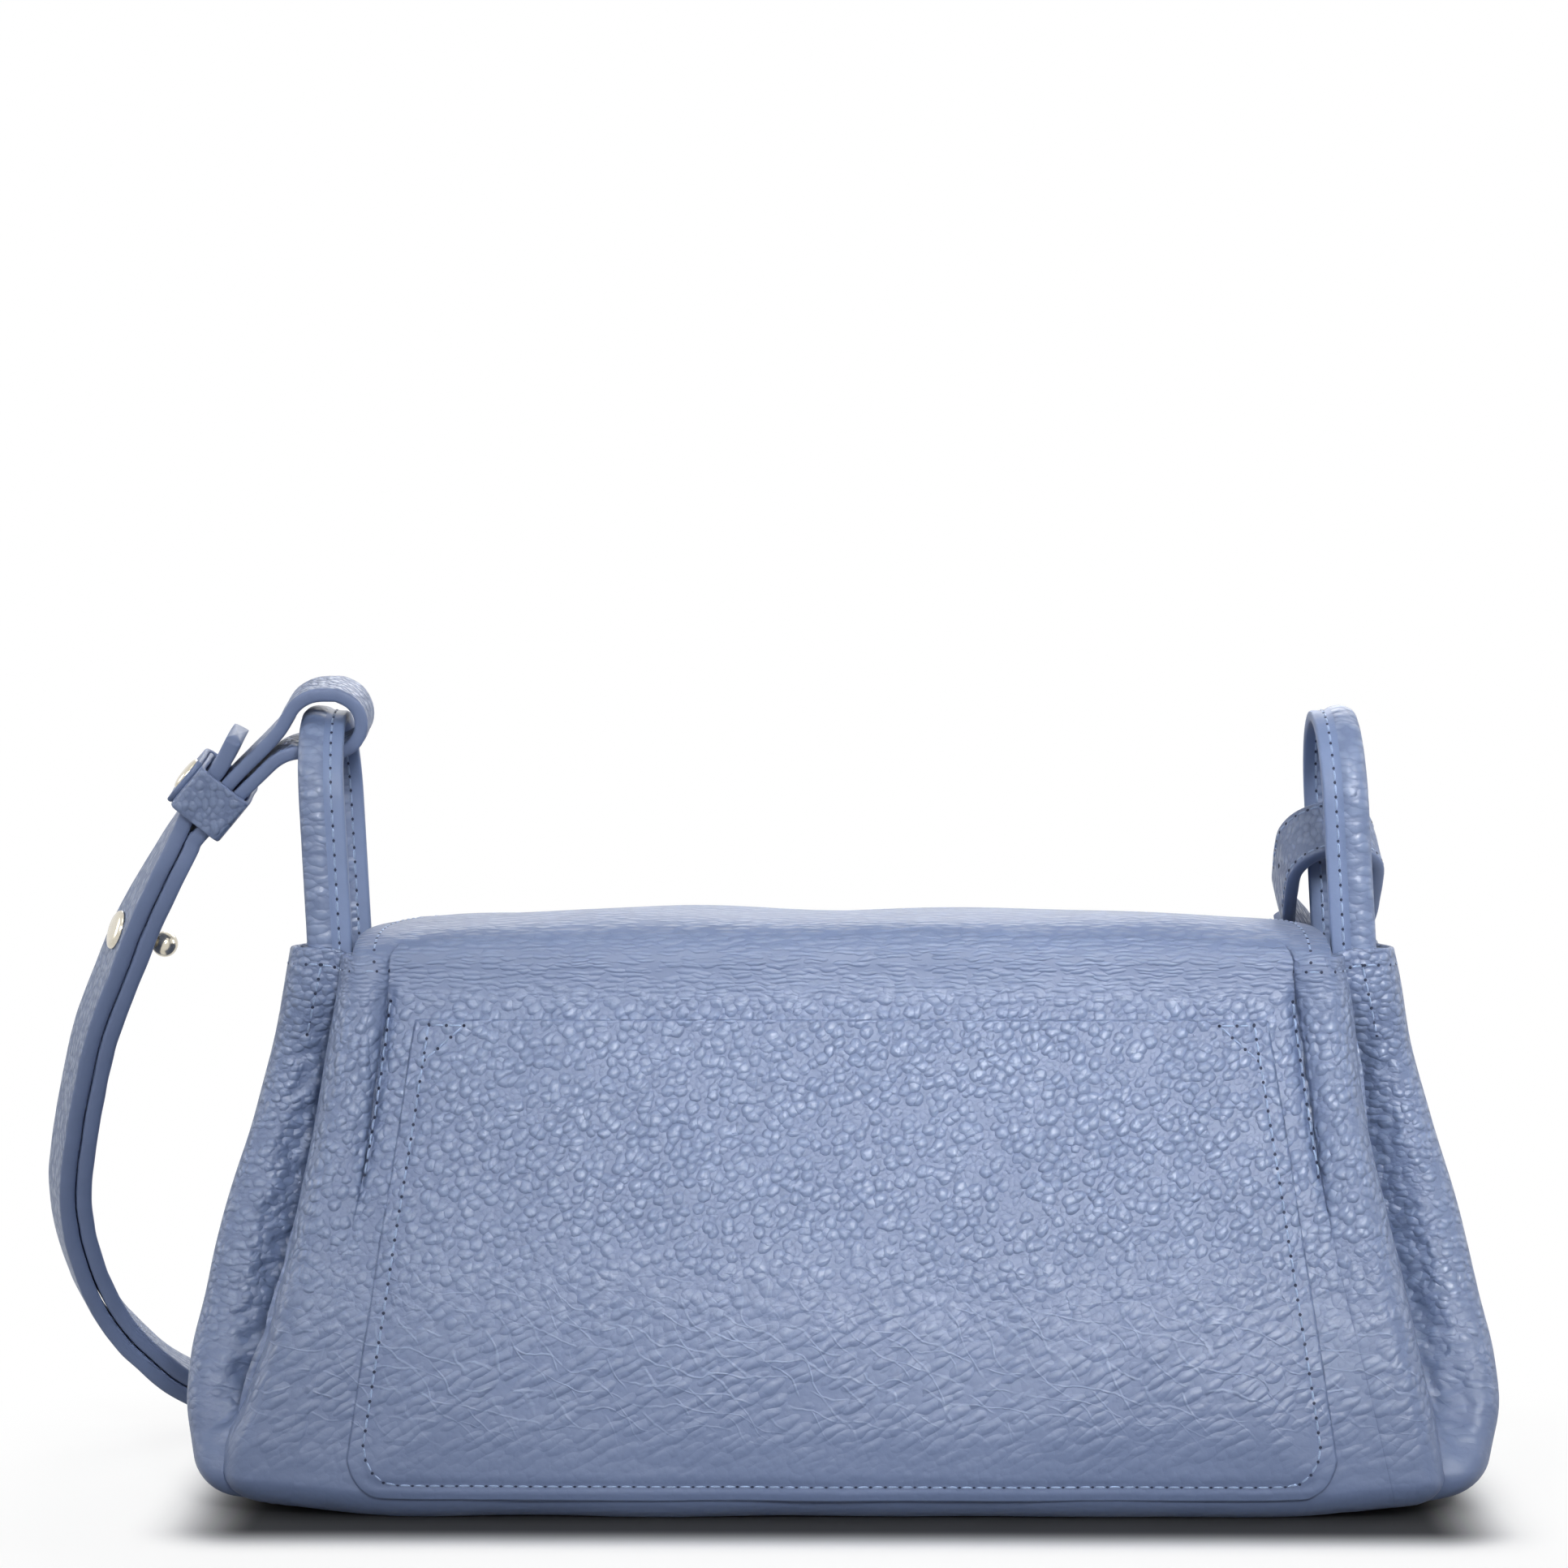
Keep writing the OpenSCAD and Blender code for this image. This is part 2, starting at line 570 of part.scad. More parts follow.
stack_half = strap_t + layer_gap / 2;
split = 0.05;
module stud_base(i) {
    color(metal) at_stud(i) {
        translate([0, 0, stack_half + seat]) cylinder(d = stud_base_d, h = stud_base_t);
        translate([0, 0, split]) cylinder(d = stud_shank_d, h = stack_half + stud_base_t / 2);
    }
}

module stud_head(i) {
    reach = stack_half + stud_ball_d / 2;
    color(metal) at_stud(i) {
        translate([0, 0, -reach]) cylinder(d = stud_shank_d, h = reach);
        translate([0, 0, -reach - split]) sphere(d = stud_ball_d);
    }
}

// Keeper: a ring round three layers, doubled on its outer side where the rivet closes it
keeper_hole_w = strap_w + 2 * keeper_gap;
keeper_top = tail_off + strap_t / 2 + 0.1 + keeper_gap;
keeper_low = through_off + hook_t / 2 + 0.3 + keeper_gap;
module keeper_ring() {
    module hole_shape(d) {
        translate([-keeper_hole_w / 2 - d, -keeper_low - d])
            square([keeper_hole_w + 2 * d, keeper_top + keeper_low + 2 * d]);
    }
    difference() {
        translate([0, 0, -keeper_l / 2]) linear_extrude(keeper_l) difference() {
            union() {
                hole_shape(keeper_t);
                translate([-keeper_hole_w / 2 - keeper_t, keeper_top])
                    square([keeper_hole_w + 2 * keeper_t, 2 * keeper_t]);
            }
            hole_shape(0);
        }
        translate([0, keeper_top, 0]) rotate([-90, 0, 0])
            cylinder(d = rivet_shank_d + 0.2, h = 5 * keeper_t, center = true);
    }
}

rivet_shank_d = 2.6;
module keeper_rivet_shape() {
    translate([0, keeper_top + 2 * keeper_t + split, 0]) rotate([-90, 0, 0])
        cylinder(d = rivet_d, h = rivet_t);
    translate([0, keeper_top + split, 0]) rotate([-90, 0, 0])
        cylinder(d = rivet_shank_d, h = 2 * keeper_t + rivet_t / 2);
}

left_out = -(left_side[0] * left_hook[2] + left_side[1] * left_hook[3]);
module at_left_keeper() {
    translate(left_keeper_at) turned(left_hook[1], left_out) children();
}

module at_right_keeper() {
    translate(right_keeper_at) turned(right_hook[1], -right_hook[2]) children();
}

module left_keeper() {
    color(blue) at_left_keeper() keeper_ring();
}

module right_keeper() {
    color(blue) at_right_keeper() keeper_ring();
}

module left_keeper_rivet() {
    color(metal) at_left_keeper() keeper_rivet_shape();
}

module right_keeper_rivet() {
    color(metal) at_right_keeper() keeper_rivet_shape();
}

back_panel();
front_panel();
gusset(-1);  // left_gusset
gusset(1);  // right_gusset
base_panel();
base_board();
lining_back();
lining_front();
lining_side(-1);  // lining_left
lining_side(1);  // lining_right
lining_base();
inner_pocket();
back_pocket_panel();
flap();
flap_lining();
snap_male();
snap_female();
snap_washer();
left_loop();
right_loop();
left_loop_core();
right_loop_core();
inner_strap();
outer_strap();
stud_base(left_stud_i);  // left_stud_base
stud_head(left_stud_i);  // left_stud_head
stud_base(right_stud_i);  // right_stud_base
stud_head(right_stud_i);  // right_stud_head
left_keeper();
right_keeper();
left_keeper_rivet();
right_keeper_rivet();
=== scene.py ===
import bpy, math
import numpy as np
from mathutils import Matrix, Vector


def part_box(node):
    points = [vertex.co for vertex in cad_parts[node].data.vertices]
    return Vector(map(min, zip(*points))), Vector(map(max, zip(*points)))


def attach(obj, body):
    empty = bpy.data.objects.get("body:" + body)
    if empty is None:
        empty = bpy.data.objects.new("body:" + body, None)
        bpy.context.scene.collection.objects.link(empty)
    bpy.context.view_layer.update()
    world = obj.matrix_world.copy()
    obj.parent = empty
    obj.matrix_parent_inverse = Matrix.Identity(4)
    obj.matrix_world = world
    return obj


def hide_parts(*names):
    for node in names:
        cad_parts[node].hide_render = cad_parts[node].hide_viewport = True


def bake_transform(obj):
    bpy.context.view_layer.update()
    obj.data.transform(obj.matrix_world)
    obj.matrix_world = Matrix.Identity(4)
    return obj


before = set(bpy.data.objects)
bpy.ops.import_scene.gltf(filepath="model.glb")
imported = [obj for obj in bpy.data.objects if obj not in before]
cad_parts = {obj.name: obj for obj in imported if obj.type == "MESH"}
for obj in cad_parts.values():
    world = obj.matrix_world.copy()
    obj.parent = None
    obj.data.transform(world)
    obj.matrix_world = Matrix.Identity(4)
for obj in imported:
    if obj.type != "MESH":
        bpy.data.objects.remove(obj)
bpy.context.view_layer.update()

scene = bpy.context.scene
scene.view_settings.view_transform = "Standard"
mm = 0.001
print("frame loaded,", len(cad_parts), "solids")


# curves and noise, all in millimetres
def smoothStep(low, high, value):
    k = np.clip((np.asarray(value, float) - low) / (high - low), 0, 1)
    return k * k * (3 - 2 * k)


def keyed(keys, value):  # smooth curve through (place, value) pairs, flat beyond its ends
    at, to = np.array(sorted(keys), float).T
    slope = np.diff(to) / np.diff(at)
    same = slope[1:] * slope[:-1] > 0
    tangent = np.zeros(len(at))
    tangent[1:-1] = np.where(same, 2 * slope[1:] * slope[:-1] / np.where(same, slope[1:] + slope[:-1], 1), 0)
    tangent[0], tangent[-1] = slope[0], slope[-1]
    value = np.clip(np.asarray(value, float), at[0], at[-1])
    i = np.clip(np.searchsorted(at, value, side="right") - 1, 0, len(at) - 2)
    span = at[i + 1] - at[i]
    k = (value - at[i]) / span
    return ((2 * k**3 - 3 * k**2 + 1) * to[i] + (k**3 - 2 * k**2 + k) * span * tangent[i]
            + (3 * k**2 - 2 * k**3) * to[i + 1] + (k**3 - k**2) * span * tangent[i + 1])


def waves(points, seed, length, stretch):  # smooth noise, about -1 to 1
    chance = np.random.default_rng(seed)
    count = 26
    heading = chance.normal(size=(count, 3))
    heading /= np.linalg.norm(heading, axis=1)[:, None]
    heading *= (2 * math.pi / (length * chance.uniform(0.7, 1.5, count)))[:, None] / np.array(stretch)
    return np.sin(points @ heading.T + chance.uniform(0, 2 * math.pi, count)).sum(-1) / math.sqrt(count)


def creases(points, seed, length, stretch, width):  # 1 on thin lines, 0 elsewhere
    return np.exp(-(waves(points, seed, length, stretch) / width) ** 2)


def smoothPath(points, steps):  # one smooth curve through every point
    p = np.array(points, float)
    last = len(p) - 1
    found = []
    for i in range(last):
        a, b, c, d = p[max(i - 1, 0)], p[i], p[i + 1], p[min(i + 2, last)]
        for k in np.arange(steps) / steps:
            found.append(0.5 * (2 * b + (c - a) * k + (2 * a - 5 * b + 4 * c - d) * k * k
                                + (3 * b - a - 3 * c + d) * k**3))
    return np.array(found + [p[last]])


def lengthAlong(path):
    return np.concatenate([[0], np.cumsum(np.linalg.norm(np.diff(path, axis=0), axis=1))])


def evenly(path, step, *others):  # the path at even steps, with what goes with its points
    at = lengthAlong(path)
    marks = np.linspace(0, at[-1], max(2, int(round(at[-1] / step)) + 1))
    return [np.stack([np.interp(marks, at, each[:, c]) for c in range(each.shape[1])], 1)
            for each in (path, *others)]


def unit(v):
    v = np.asarray(v, float)
    return v / np.maximum(np.linalg.norm(v, axis=-1, keepdims=True), 1e-9)


def tangents(path):
    return unit(np.gradient(path, axis=0))


def squared(across, along):  # what is left of across at right angles to along
    return unit(across - (across * along).sum(1)[:, None] * along)


# meshes
def gridFaces(rows, cols, keep=None, ring=False):  # ring joins the last column to the first
    r, c = np.meshgrid(np.arange(rows - 1), np.arange(cols if ring else cols - 1), indexing="ij")
    if keep is not None:
        r, c = r[keep], c[keep]
    r, c = r.ravel(), c.ravel()
    n = (c + 1) % cols
    return np.stack([r * cols + c, r * cols + n, (r + 1) * cols + n, (r + 1) * cols + c], 1)


def vertexNormals(verts, faces):
    a, b, c, d = (verts[faces[:, i]] for i in range(4))
    each = np.cross(c - a, d - b)
    total = np.zeros_like(verts)
    for i in range(4):
        np.add.at(total, faces[:, i], each)
    return unit(total)


def thicken(verts, faces, thick, normal, flat):  # closed leather with a rounded rim, from its outer face
    normal = vertexNormals(verts, faces) if normal is None else normal
    half = np.broadcast_to(np.asarray(thick, float), len(verts))[:, None] / 2
    count = len(verts)
    edges = np.concatenate([faces[:, [i, (i + 1) % 4]] for i in range(4)])
    known = set(map(tuple, edges))
    rim = np.array([e for e in map(tuple, edges) if (e[1], e[0]) not in known])
    along = unit(verts[rim[:, 1]] - verts[rim[:, 0]])
    outward = np.zeros_like(verts)
    for i in (0, 1):
        np.add.at(outward, rim[:, i], np.cross(along, normal[rim[:, i]]))
    outward = unit(outward)
    outward[list(flat)] = 0  # a seam that another piece meets stays square
    middle = verts - normal * half
    where = np.unique(rim)
    place = {v: i for i, v in enumerate(where)}
    turns = [normal[where] * math.cos(a) + outward[where] * math.sin(a) for a in np.radians([36, 72, 108, 144])]
    allVerts = np.concatenate([verts, verts - 2 * normal * half] + [middle[where] + half[where] * t for t in turns])
    allNormals = np.concatenate([normal, -normal] + [unit(t) for t in turns])
    made = [faces, faces[:, ::-1] + count]
    step = len(where)
    first = np.array([place[v] for v in rim[:, 0]])
    second = np.array([place[v] for v in rim[:, 1]])
    levels = [(rim[:, 0], rim[:, 1])] + [(2 * count + k * step + first, 2 * count + k * step + second)
                                         for k in range(4)] + [(rim[:, 0] + count, rim[:, 1] + count)]
    for (a0, b0), (a1, b1) in zip(levels[:-1], levels[1:]):
        made.append(np.stack([b0, a0, a1, b1], 1))
    used, place = np.unique(np.concatenate(made), return_inverse=True)
    return allVerts[used], place.reshape(-1, 4), allNormals[used]


def capFaces(count, cols):  # closes a tube of rings, its two end points being the next after count
    last = count - cols
    return [[(k + 1) % cols, k, count] for k in range(cols)] \
        + [[last + k, last + (k + 1) % cols, count + 1] for k in range(cols)]


def cappedTube(grid):  # a grid of rings closed at both ends, and the column of each side face
    verts, cols = grid.reshape(-1, 3), grid.shape[1]
    faces = gridFaces(*grid.shape[:2], ring=True).tolist()
    column = np.arange(len(faces)) % cols
    ends = [verts[:cols].mean(0), verts[-cols:].mean(0)]
    return np.concatenate([verts, ends]), faces + capFaces(len(verts), cols), column


def addPiece(name, verts, faces, finish, body=None, stands=(), slot=None, kinds=None, normals=None):
    mesh = bpy.data.meshes.new(name)
    mesh.from_pydata([tuple(v) for v in np.asarray(verts) * mm], [], [tuple(map(int, f)) for f in faces])
    for each in finish if isinstance(finish, (list, tuple)) else [finish]:
        mesh.materials.append(each)
    if kinds is not None:
        mesh.polygons.foreach_set("material_index", np.asarray(kinds, np.int32))
    mesh.polygons.foreach_set("use_smooth", np.ones(len(mesh.polygons), bool))
    if normals is not None:
        mesh.normals_split_custom_set_from_vertices(normals.tolist())
    made = bpy.data.objects.new(name, mesh)
    scene.collection.objects.link(made)
    if body == "flapLeather":
        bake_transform(made)
    elif body:
        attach(made, body)
    if stands:
        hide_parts(*stands)
    return made


def addSheet(name, grid, thick, finish, stands, slot="body_leather", body="bag", keep=None, normals=None, flat=()):
    normals = None if normals is None else normals.reshape(-1, 3)
    verts, faces, normals = thicken(grid.reshape(-1, 3), gridFaces(*grid.shape[:2], keep), thick, normals, flat)
    addPiece(name, verts, faces, finish, body, [stands], slot, normals=normals)


def lathe(profile, place, axis, steps):  # (radius, height) pairs turned round an axis
    axis = unit(axis)
    side = unit(np.cross(axis, [0.3, 0.2, 0.93]))
    other = np.cross(axis, side)
    a = np.linspace(0, 2 * math.pi, steps, endpoint=False)
    rings = [np.asarray(place) + h * axis + max(r, 1e-4) * (np.cos(a)[:, None] * side + np.sin(a)[:, None] * other)
             for r, h in profile]
    return np.concatenate(rings), gridFaces(len(profile), steps, ring=True)


# shader expressions
class Wire:  # one output socket; operators on it add Math nodes
    def __init__(self, socket):
        self.socket = socket

    def node(self, kind, settings=None, values=None, out=0):
        tree = self.socket.id_data
        made = tree.nodes.new(kind)
        for key, value in (settings or {}).items():
            setattr(made, key, value)
        for key, value in (values or {}).items():
            if isinstance(value, Wire):
                tree.links.new(value.socket, made.inputs[key])
            else:
                made.inputs[key].default_value = value
        return Wire(made.outputs[out])

    def maths(self, operation, *values):
        return self.node("ShaderNodeMath", {"operation": operation}, dict(enumerate(values)))

    def __add__(self, other): return self.maths("ADD", self, other)
    def __radd__(self, other): return self.maths("ADD", other, self)
    def __sub__(self, other): return self.maths("SUBTRACT", self, other)
    def __rsub__(self, other): return self.maths("SUBTRACT", other, self)
    def __mul__(self, other): return self.maths("MULTIPLY", self, other)
    def __rmul__(self, other): return self.maths("MULTIPLY", other, self)
    def __truediv__(self, other): return self.maths("DIVIDE", self, other)
    def __rtruediv__(self, other): return self.maths("DIVIDE", other, self)
    def __pow__(self, other): return self.maths("POWER", self, other)

    def other(self, name):  # another output of the same node
        return Wire(self.socket.node.outputs[name])

    def size(self):
        return self.maths("ABSOLUTE", self)

    def above(self, low):
        return self.maths("MAXIMUM", self, low)

    def clamped(self):
        return self.maths("MINIMUM", self.above(0.0), 1.0)

    def ranged(self, low, high):  # smooth step from 0 at low to 1 at high
        return self.node("ShaderNodeMapRange", {"interpolation_type": "SMOOTHSTEP"},
                         {"Value": self, "From Min": low, "From Max": high})

    def moved(self, other):
        return self.node("ShaderNodeVectorMath", {"operation": "ADD"}, {0: self, 1: other})

    def stretched(self, by):
        return self.node("ShaderNodeVectorMath", {"operation": "MULTIPLY"}, {0: self, 1: by})

    def mixed(self, first, second):  # colours, this wire being the factor
        return self.node("ShaderNodeMix", {"data_type": "RGBA"}, {0: self, 6: first, 7: second}, out=2)

    def turned(self, angle):  # about the Y axis
        return self.node("ShaderNodeVectorRotate", {"rotation_type": "Y_AXIS"}, {"Vector": self, "Angle": angle})

    def part(self, axis):
        return self.node("ShaderNodeSeparateXYZ", {}, {0: self}, out="XYZ".index(axis))

    def noise(self, size, detail=2.0, out=0):  # size in millimetres
        return self.node("ShaderNodeTexNoise", {}, {"Vector": self, "Scale": 1000 / size, "Detail": detail}, out=out)

    def cells(self, size, feature, randomness):
        return self.node("ShaderNodeTexVoronoi", {"feature": feature},
                         {"Vector": self, "Scale": 1000 / size, "Randomness": randomness})


def newFinish(name, constants):
    made = bpy.data.materials.new(name)
    made.use_nodes = True
    shader = made.node_tree.nodes["Principled BSDF"]
    for key, value in constants.items():
        shader.inputs[key].default_value = value
    place = Wire(made.node_tree.nodes.new("ShaderNodeTexCoord").outputs["Object"])
    return made, shader, place


def connect(shader, **wires):
    for name, wire in wires.items():
        target = {"colour": "Base Color", "rough": "Roughness", "bump": "Normal"}[name]
        shader.id_data.links.new(wire.socket, shader.inputs[target])


def bumped(wire, height, distance):  # distance in millimetres
    return wire.node("ShaderNodeBump", {}, {"Height": height, "Distance": distance * mm, "Strength": 1.0})


def colour(red, green, blue):  # from 0-255 display values
    return tuple(((c / 255 + 0.055) / 1.055) ** 2.4 if c > 10 else c / 3294.6 for c in (red, green, blue)) + (1,)


# leather; its darker colour is painted shade, in the pebbles' creases and towards the bottom, and its palest colour is
# a painted highlight on the lower crease lines
leather = {"shade": colour(119, 136, 170), "paintedShade": colour(92, 108, 143), "creaseHighlight": colour(150, 167, 199),
           "pebble": 2.3, "depth": 0.58, "wander": 1.9,
           "lines": [(0.87, 5.2, 0.9, 0.9), (0.2, 4.6, 1.0, 0.0)]}  # angle, gap, share, share lost near the sides


def pebbles(place, size):  # rounded tops that meet in creases
    return (1 - (place.cells(size, "F1", 0.8) * 1.6) ** 2).clamped()


def pebbled(name, pebble=1.0, depth=1.0, drawnOut=(0.85, 1, 1), turn=0.0, top=None, low=None):
    made, shader, place = newFinish(name, {"Specular IOR Level": 0.8})
    wander = place.noise(5, out="Color").moved((-0.5,) * 3).stretched((leather["wander"] * mm,) * 3)
    bent = place.moved(wander)
    size = leather["pebble"] * pebble
    grain = bent.turned(turn).stretched(drawnOut)
    cell = pebbles(grain, size) * 0.84 + pebbles(grain.moved((0.31, 0.12, 0.2)), size * 0.5) * 0.16
    if top:  # wrinkles drawn out sideways where the leather bends over the top
        long = pebbles(bent.stretched((0.28, 0.85, 1.1)), size * 0.5)
        there = place.part("Z").ranged((top - 7) * mm, (top + 6) * mm)
        cell = cell * (1 - there) + long * there * 0.45
    if low:  # lower down the grain flattens out and crease lines cross it; there the colour is painted darker towards the bottom (painted shade) and the lines are painted paler (painted highlight)
        height = place.part("Z")
        there = 1 - height.ranged((low - 22) * mm, (low + 20) * mm)
        scales = pebbles(bent.turned(turn - 0.15).stretched((0.36, 1, 1)), size * 0.95)
        lines = 0.0
        for angle, gap, share, lost in leather["lines"]:
            bend = bent.turned(-angle).part("Z") / (gap * mm) + place.noise(14, 1) * 2.2
            thin = 1 - bend.maths("PINGPONG", bend, 0.5).ranged(0.0, 0.085)
            kept = 1 - place.part("X").size().ranged(0.107, 0.115) * lost
            lines = thin * place.moved((gap, 0, 0)).noise(6, 1).ranged(0.36, 0.58) * kept * share + lines
        lines = lines.clamped() * there * height.ranged(13 * mm, 32 * mm)
        cell = cell * (1 - 0.88 * there) + scales * (0.6 * there * height.ranged(4 * mm, 30 * mm)) + lines * 0.16
    mottled = place.noise(40, 3)
    dome = cell * (place.noise(24, 2) * 0.5 + 0.7) + place.noise(0.6, 2) * 0.03 + place.noise(9, 2) * 0.15
    # painted shade: the creases between pebbles take the darker colour, with a random mottled tone over it
    shade = (cell * 0.8 + mottled * 0.3).clamped().mixed(leather["paintedShade"], leather["shade"])
    # painted shade: below, the colour darkens towards the bottom
    if low:
        # painted highlight: the crease lines are painted paler
        shade = (lines * 0.26).mixed((there * 0.6).mixed(shade, leather["paintedShade"]), leather["creaseHighlight"])
    connect(shader, colour=shade, rough=0.5 - cell * 0.2 + mottled * 0.05,
            bump=bumped(place, dome, leather["depth"] * depth))
    return made


def smoothEdge(name, shade, rough=0.42):
    made, shader, place = newFinish(name, {})
    grain = place.noise(1.2, 3)
    connect(shader, colour=place.noise(5).mixed(tuple(c * 0.86 for c in shade[:3]) + (1,), shade),
            rough=rough + grain * 0.16, bump=bumped(place, grain, 0.06))
    return made


bodyLeather = pebbled("bodyLeather", turn=0.7, top=117, low=52)
pocketLeather = pebbled("pocketLeather", turn=0.7, low=52)
gussetLeather = pebbled("gussetLeather", pebble=0.9, depth=0.8, drawnOut=(0.8, 0.8, 1.1), low=38)
strapLeather = pebbled("strapLeather", pebble=0.75, depth=0.6, drawnOut=(1, 1, 0.75))
loopLeather = pebbled("loopLeather", pebble=1.0, depth=0.42, drawnOut=(0.55, 0.8, 1.1))
edgePaint = smoothEdge("edgePaint", colour(112, 128, 164))
flangeLeather = smoothEdge("flangeLeather", colour(116, 134, 172), 0.4)


def threadFinish():
    made, shader, place = newFinish("thread", {"Sheen Weight": 0.3})
    twist = place.noise(0.35, 2)
    connect(shader, colour=twist.mixed(colour(120, 140, 178), colour(158, 178, 210)),
            rough=twist * 0.2 + 0.5, bump=bumped(place, twist, 0.08))
    return made


def liningFinish():
    made, shader, place = newFinish("liningCloth", {"Sheen Weight": 0.25})
    warp, weft = (place.node("ShaderNodeTexWave", {"bands_direction": axis},
                             {"Vector": place, "Scale": 700, "Distortion": 1.5}) for axis in "XZ")
    weave = warp * weft
    tone = place.noise(25, 3)
    connect(shader, colour=tone.mixed(colour(74, 86, 116), colour(92, 106, 140)), rough=0.82 + weave * 0.1,
            bump=bumped(place, weave, 0.1))
    return made


def metalFinish(name, light, dark, rough):
    made, shader, place = newFinish(name, {"Metallic": 1.0})
    scuff = place.noise(1.6, 4)
    connect(shader, colour=scuff.mixed(light, dark), rough=rough + scuff * 0.12,
            bump=bumped(place, place.noise(0.4, 3), 0.006))
    return made


thread, liningCloth = threadFinish(), liningFinish()
paleMetal = metalFinish("paleMetal", colour(222, 216, 202), colour(196, 188, 170), 0.14)
snapMetal = metalFinish("snapMetal", colour(176, 176, 180), colour(150, 150, 154), 0.3)
boardFinish = smoothEdge("greyBoard", colour(140, 140, 137), 0.8)
# painted shade: a near-black finish for the discs that stand in for the shade inside needle holes and the strap's
# punched hole
holeShadeFinish, holeShadeShader, holeShadePlace = newFinish("paintedHoleShade", {"Roughness": 0.8})
connect(holeShadeShader, colour=holeShadePlace.noise(2).mixed(colour(22, 30, 52), colour(40, 50, 76)))
print("finishes made")

# stitches
seams = {}  # thread and needle holes, the holes drawn as dark discs of painted shade, gathered for each body
stitch = {"pitch": 3.3, "gap": 0.8, "thick": 0.5, "lift": 0.2, "sink": 0.14, "hole": 0.38}


def stitched(body, path, normals, pitch=stitch["pitch"], thick=stitch["thick"]):
    path, normals = np.array(path, float), np.array(normals, float)
    total = lengthAlong(path)[-1]
    path, normals = evenly(path, total / max(1, round(total / pitch)), path * 0 + normals)
    normals = unit(normals)
    rings, around = 9, 8
    along = np.linspace(-1, 1, rings)
    a = np.linspace(0, 2 * math.pi, around, endpoint=False)
    radius = thick / 2
    stitchFaces = [f[::-1] for f in gridFaces(rings, around, ring=True).tolist() + capFaces(rings * around, around)]
    width = radius * np.sqrt(np.clip(1 - np.abs(along) ** 4, 0.02, 1))
    rise = stitch["lift"] * (1 - along**2) - stitch["sink"]
    bag = seams.setdefault(body, {"thread": [], "holes": []})
    for i in range(len(path) - 1):
        n = unit(normals[i] + normals[i + 1])
        d = path[i + 1] - path[i]
        length = np.linalg.norm(d)
        d = unit(d)
        side = np.cross(n, d)
        middle = (path[i] + path[i + 1]) / 2
        half = (length - stitch["gap"]) / 2
        rows = (middle + (along * half)[:, None] * d + rise[:, None] * n)[:, None, :] \
            + width[:, None, None] * (np.cos(a)[None, :, None] * side * 1.05 + np.sin(a)[None, :, None] * n * 0.8)
        ends = [middle + s * (half + 0.1) * d - (stitch["sink"] + 0.05) * n for s in (-1, 1)]
        verts = np.concatenate([rows.reshape(-1, 3), ends])
        bag["thread"].append((verts, stitchFaces))
    # a dark disc at each needle hole, painted shade of the hole, sitting just proud of the leather
    for i in range(len(path)):
        n = normals[i]
        d = unit(np.cross(n, unit(path[min(i + 1, len(path) - 1)] - path[max(i - 1, 0)])))
        bag["holes"].append(lathe([(0, 0.05), (0.7 * stitch["hole"], 0.045), (stitch["hole"], 0.01),
                                   (stitch["hole"], -0.15), (0, -0.2)], path[i], n, 10))


def looseJoin(parts):
    verts, faces, at = [], [], 0
    for v, f in parts:
        verts.append(v)
        faces += [[int(i) + at for i in each] for each in f]
        at += len(v)
    return np.concatenate(verts), faces


# the bag's outline
outline = {
    "depth": {-1: [(0, 50.6), (6, 51.6), (20, 50.6), (34, 48.7), (48, 46), (67, 41.6), (83, 37.8), (100, 34.2),
                   (115, 31.2), (126, 30)],
              1: [(0, 50.4), (6, 51), (15, 49.8), (30, 47.6), (48, 44.9), (67, 42), (83, 39.4), (107, 35), (126, 30)]},
    "valley": [(0, 47), (30, 41.5), (60, 34.6), (90, 28), (107, 24.6), (126, 24.2)],
    "ridge": [(0, 146.8), (9, 149), (18, 149.8), (31, 149), (46, 146.2), (65, 142.4), (85, 137), (105, 132),
              (127, 127.6)],
    "roll": {-1: [(0, 140), (13, 139), (21, 135.5), (30, 132.6), (38, 130), (48, 128), (55, 126), (67, 124),
                  (87, 120.3), (105, 117.4), (123, 115), (126, 114.8)],
             1: [(0, 136.5), (10, 135), (19, 133.5), (31, 131), (43, 128.8), (55, 126.4), (67, 123.6), (88, 119.7),
                 (106, 118), (115, 117), (123, 115.4), (126, 115.2)]},
    "pinch": [(0, 124), (30, 117.5), (60, 111), (76, 108.5), (95, 106), (114.8, 103.6), (126, 102.6)],
    "pinchDepth": 2.6, "foot": 7, "lift": 4.6, "thick": 1.6}


def footIn(z):  # how far the rounded bottom edge comes in
    r = outline["foot"]
    return np.where(z >= r, 0, r - np.sqrt(np.clip(r * r - (r - z) ** 2, 0, None)))


def liftAt(x, z):  # the base's corners stand clear of the floor
    return outline["lift"] * smoothStep(88, 156, np.abs(x)) ** 1.3 * (1 - smoothStep(10, 90, z))


def faceY(x, z, side=-1):  # distance of a face from the middle plane, side -1 being the back
    crown = 1.3 * np.cos(np.clip(np.asarray(x) / 125, -1, 1) * math.pi / 2) * np.sin(np.clip(z / 126, 0, 1) * math.pi)
    p = np.stack(np.broadcast_arrays(np.asarray(x, float), side * 50.0, z), -1)
    return keyed(outline["depth"][side], z) - footIn(z) + crown * 0.6 + 0.35 * waves(p, 5, 46, (1.4, 1, 1))


footHeights = 7 - 7 * np.sin(np.radians(np.linspace(90, 12, 9)))
rowHeights = np.concatenate([footHeights, np.arange(6.5, 60, 1.5), np.linspace(60, 121, 44)])
flatCols, rollCols, sideCols = 64, 22, 10


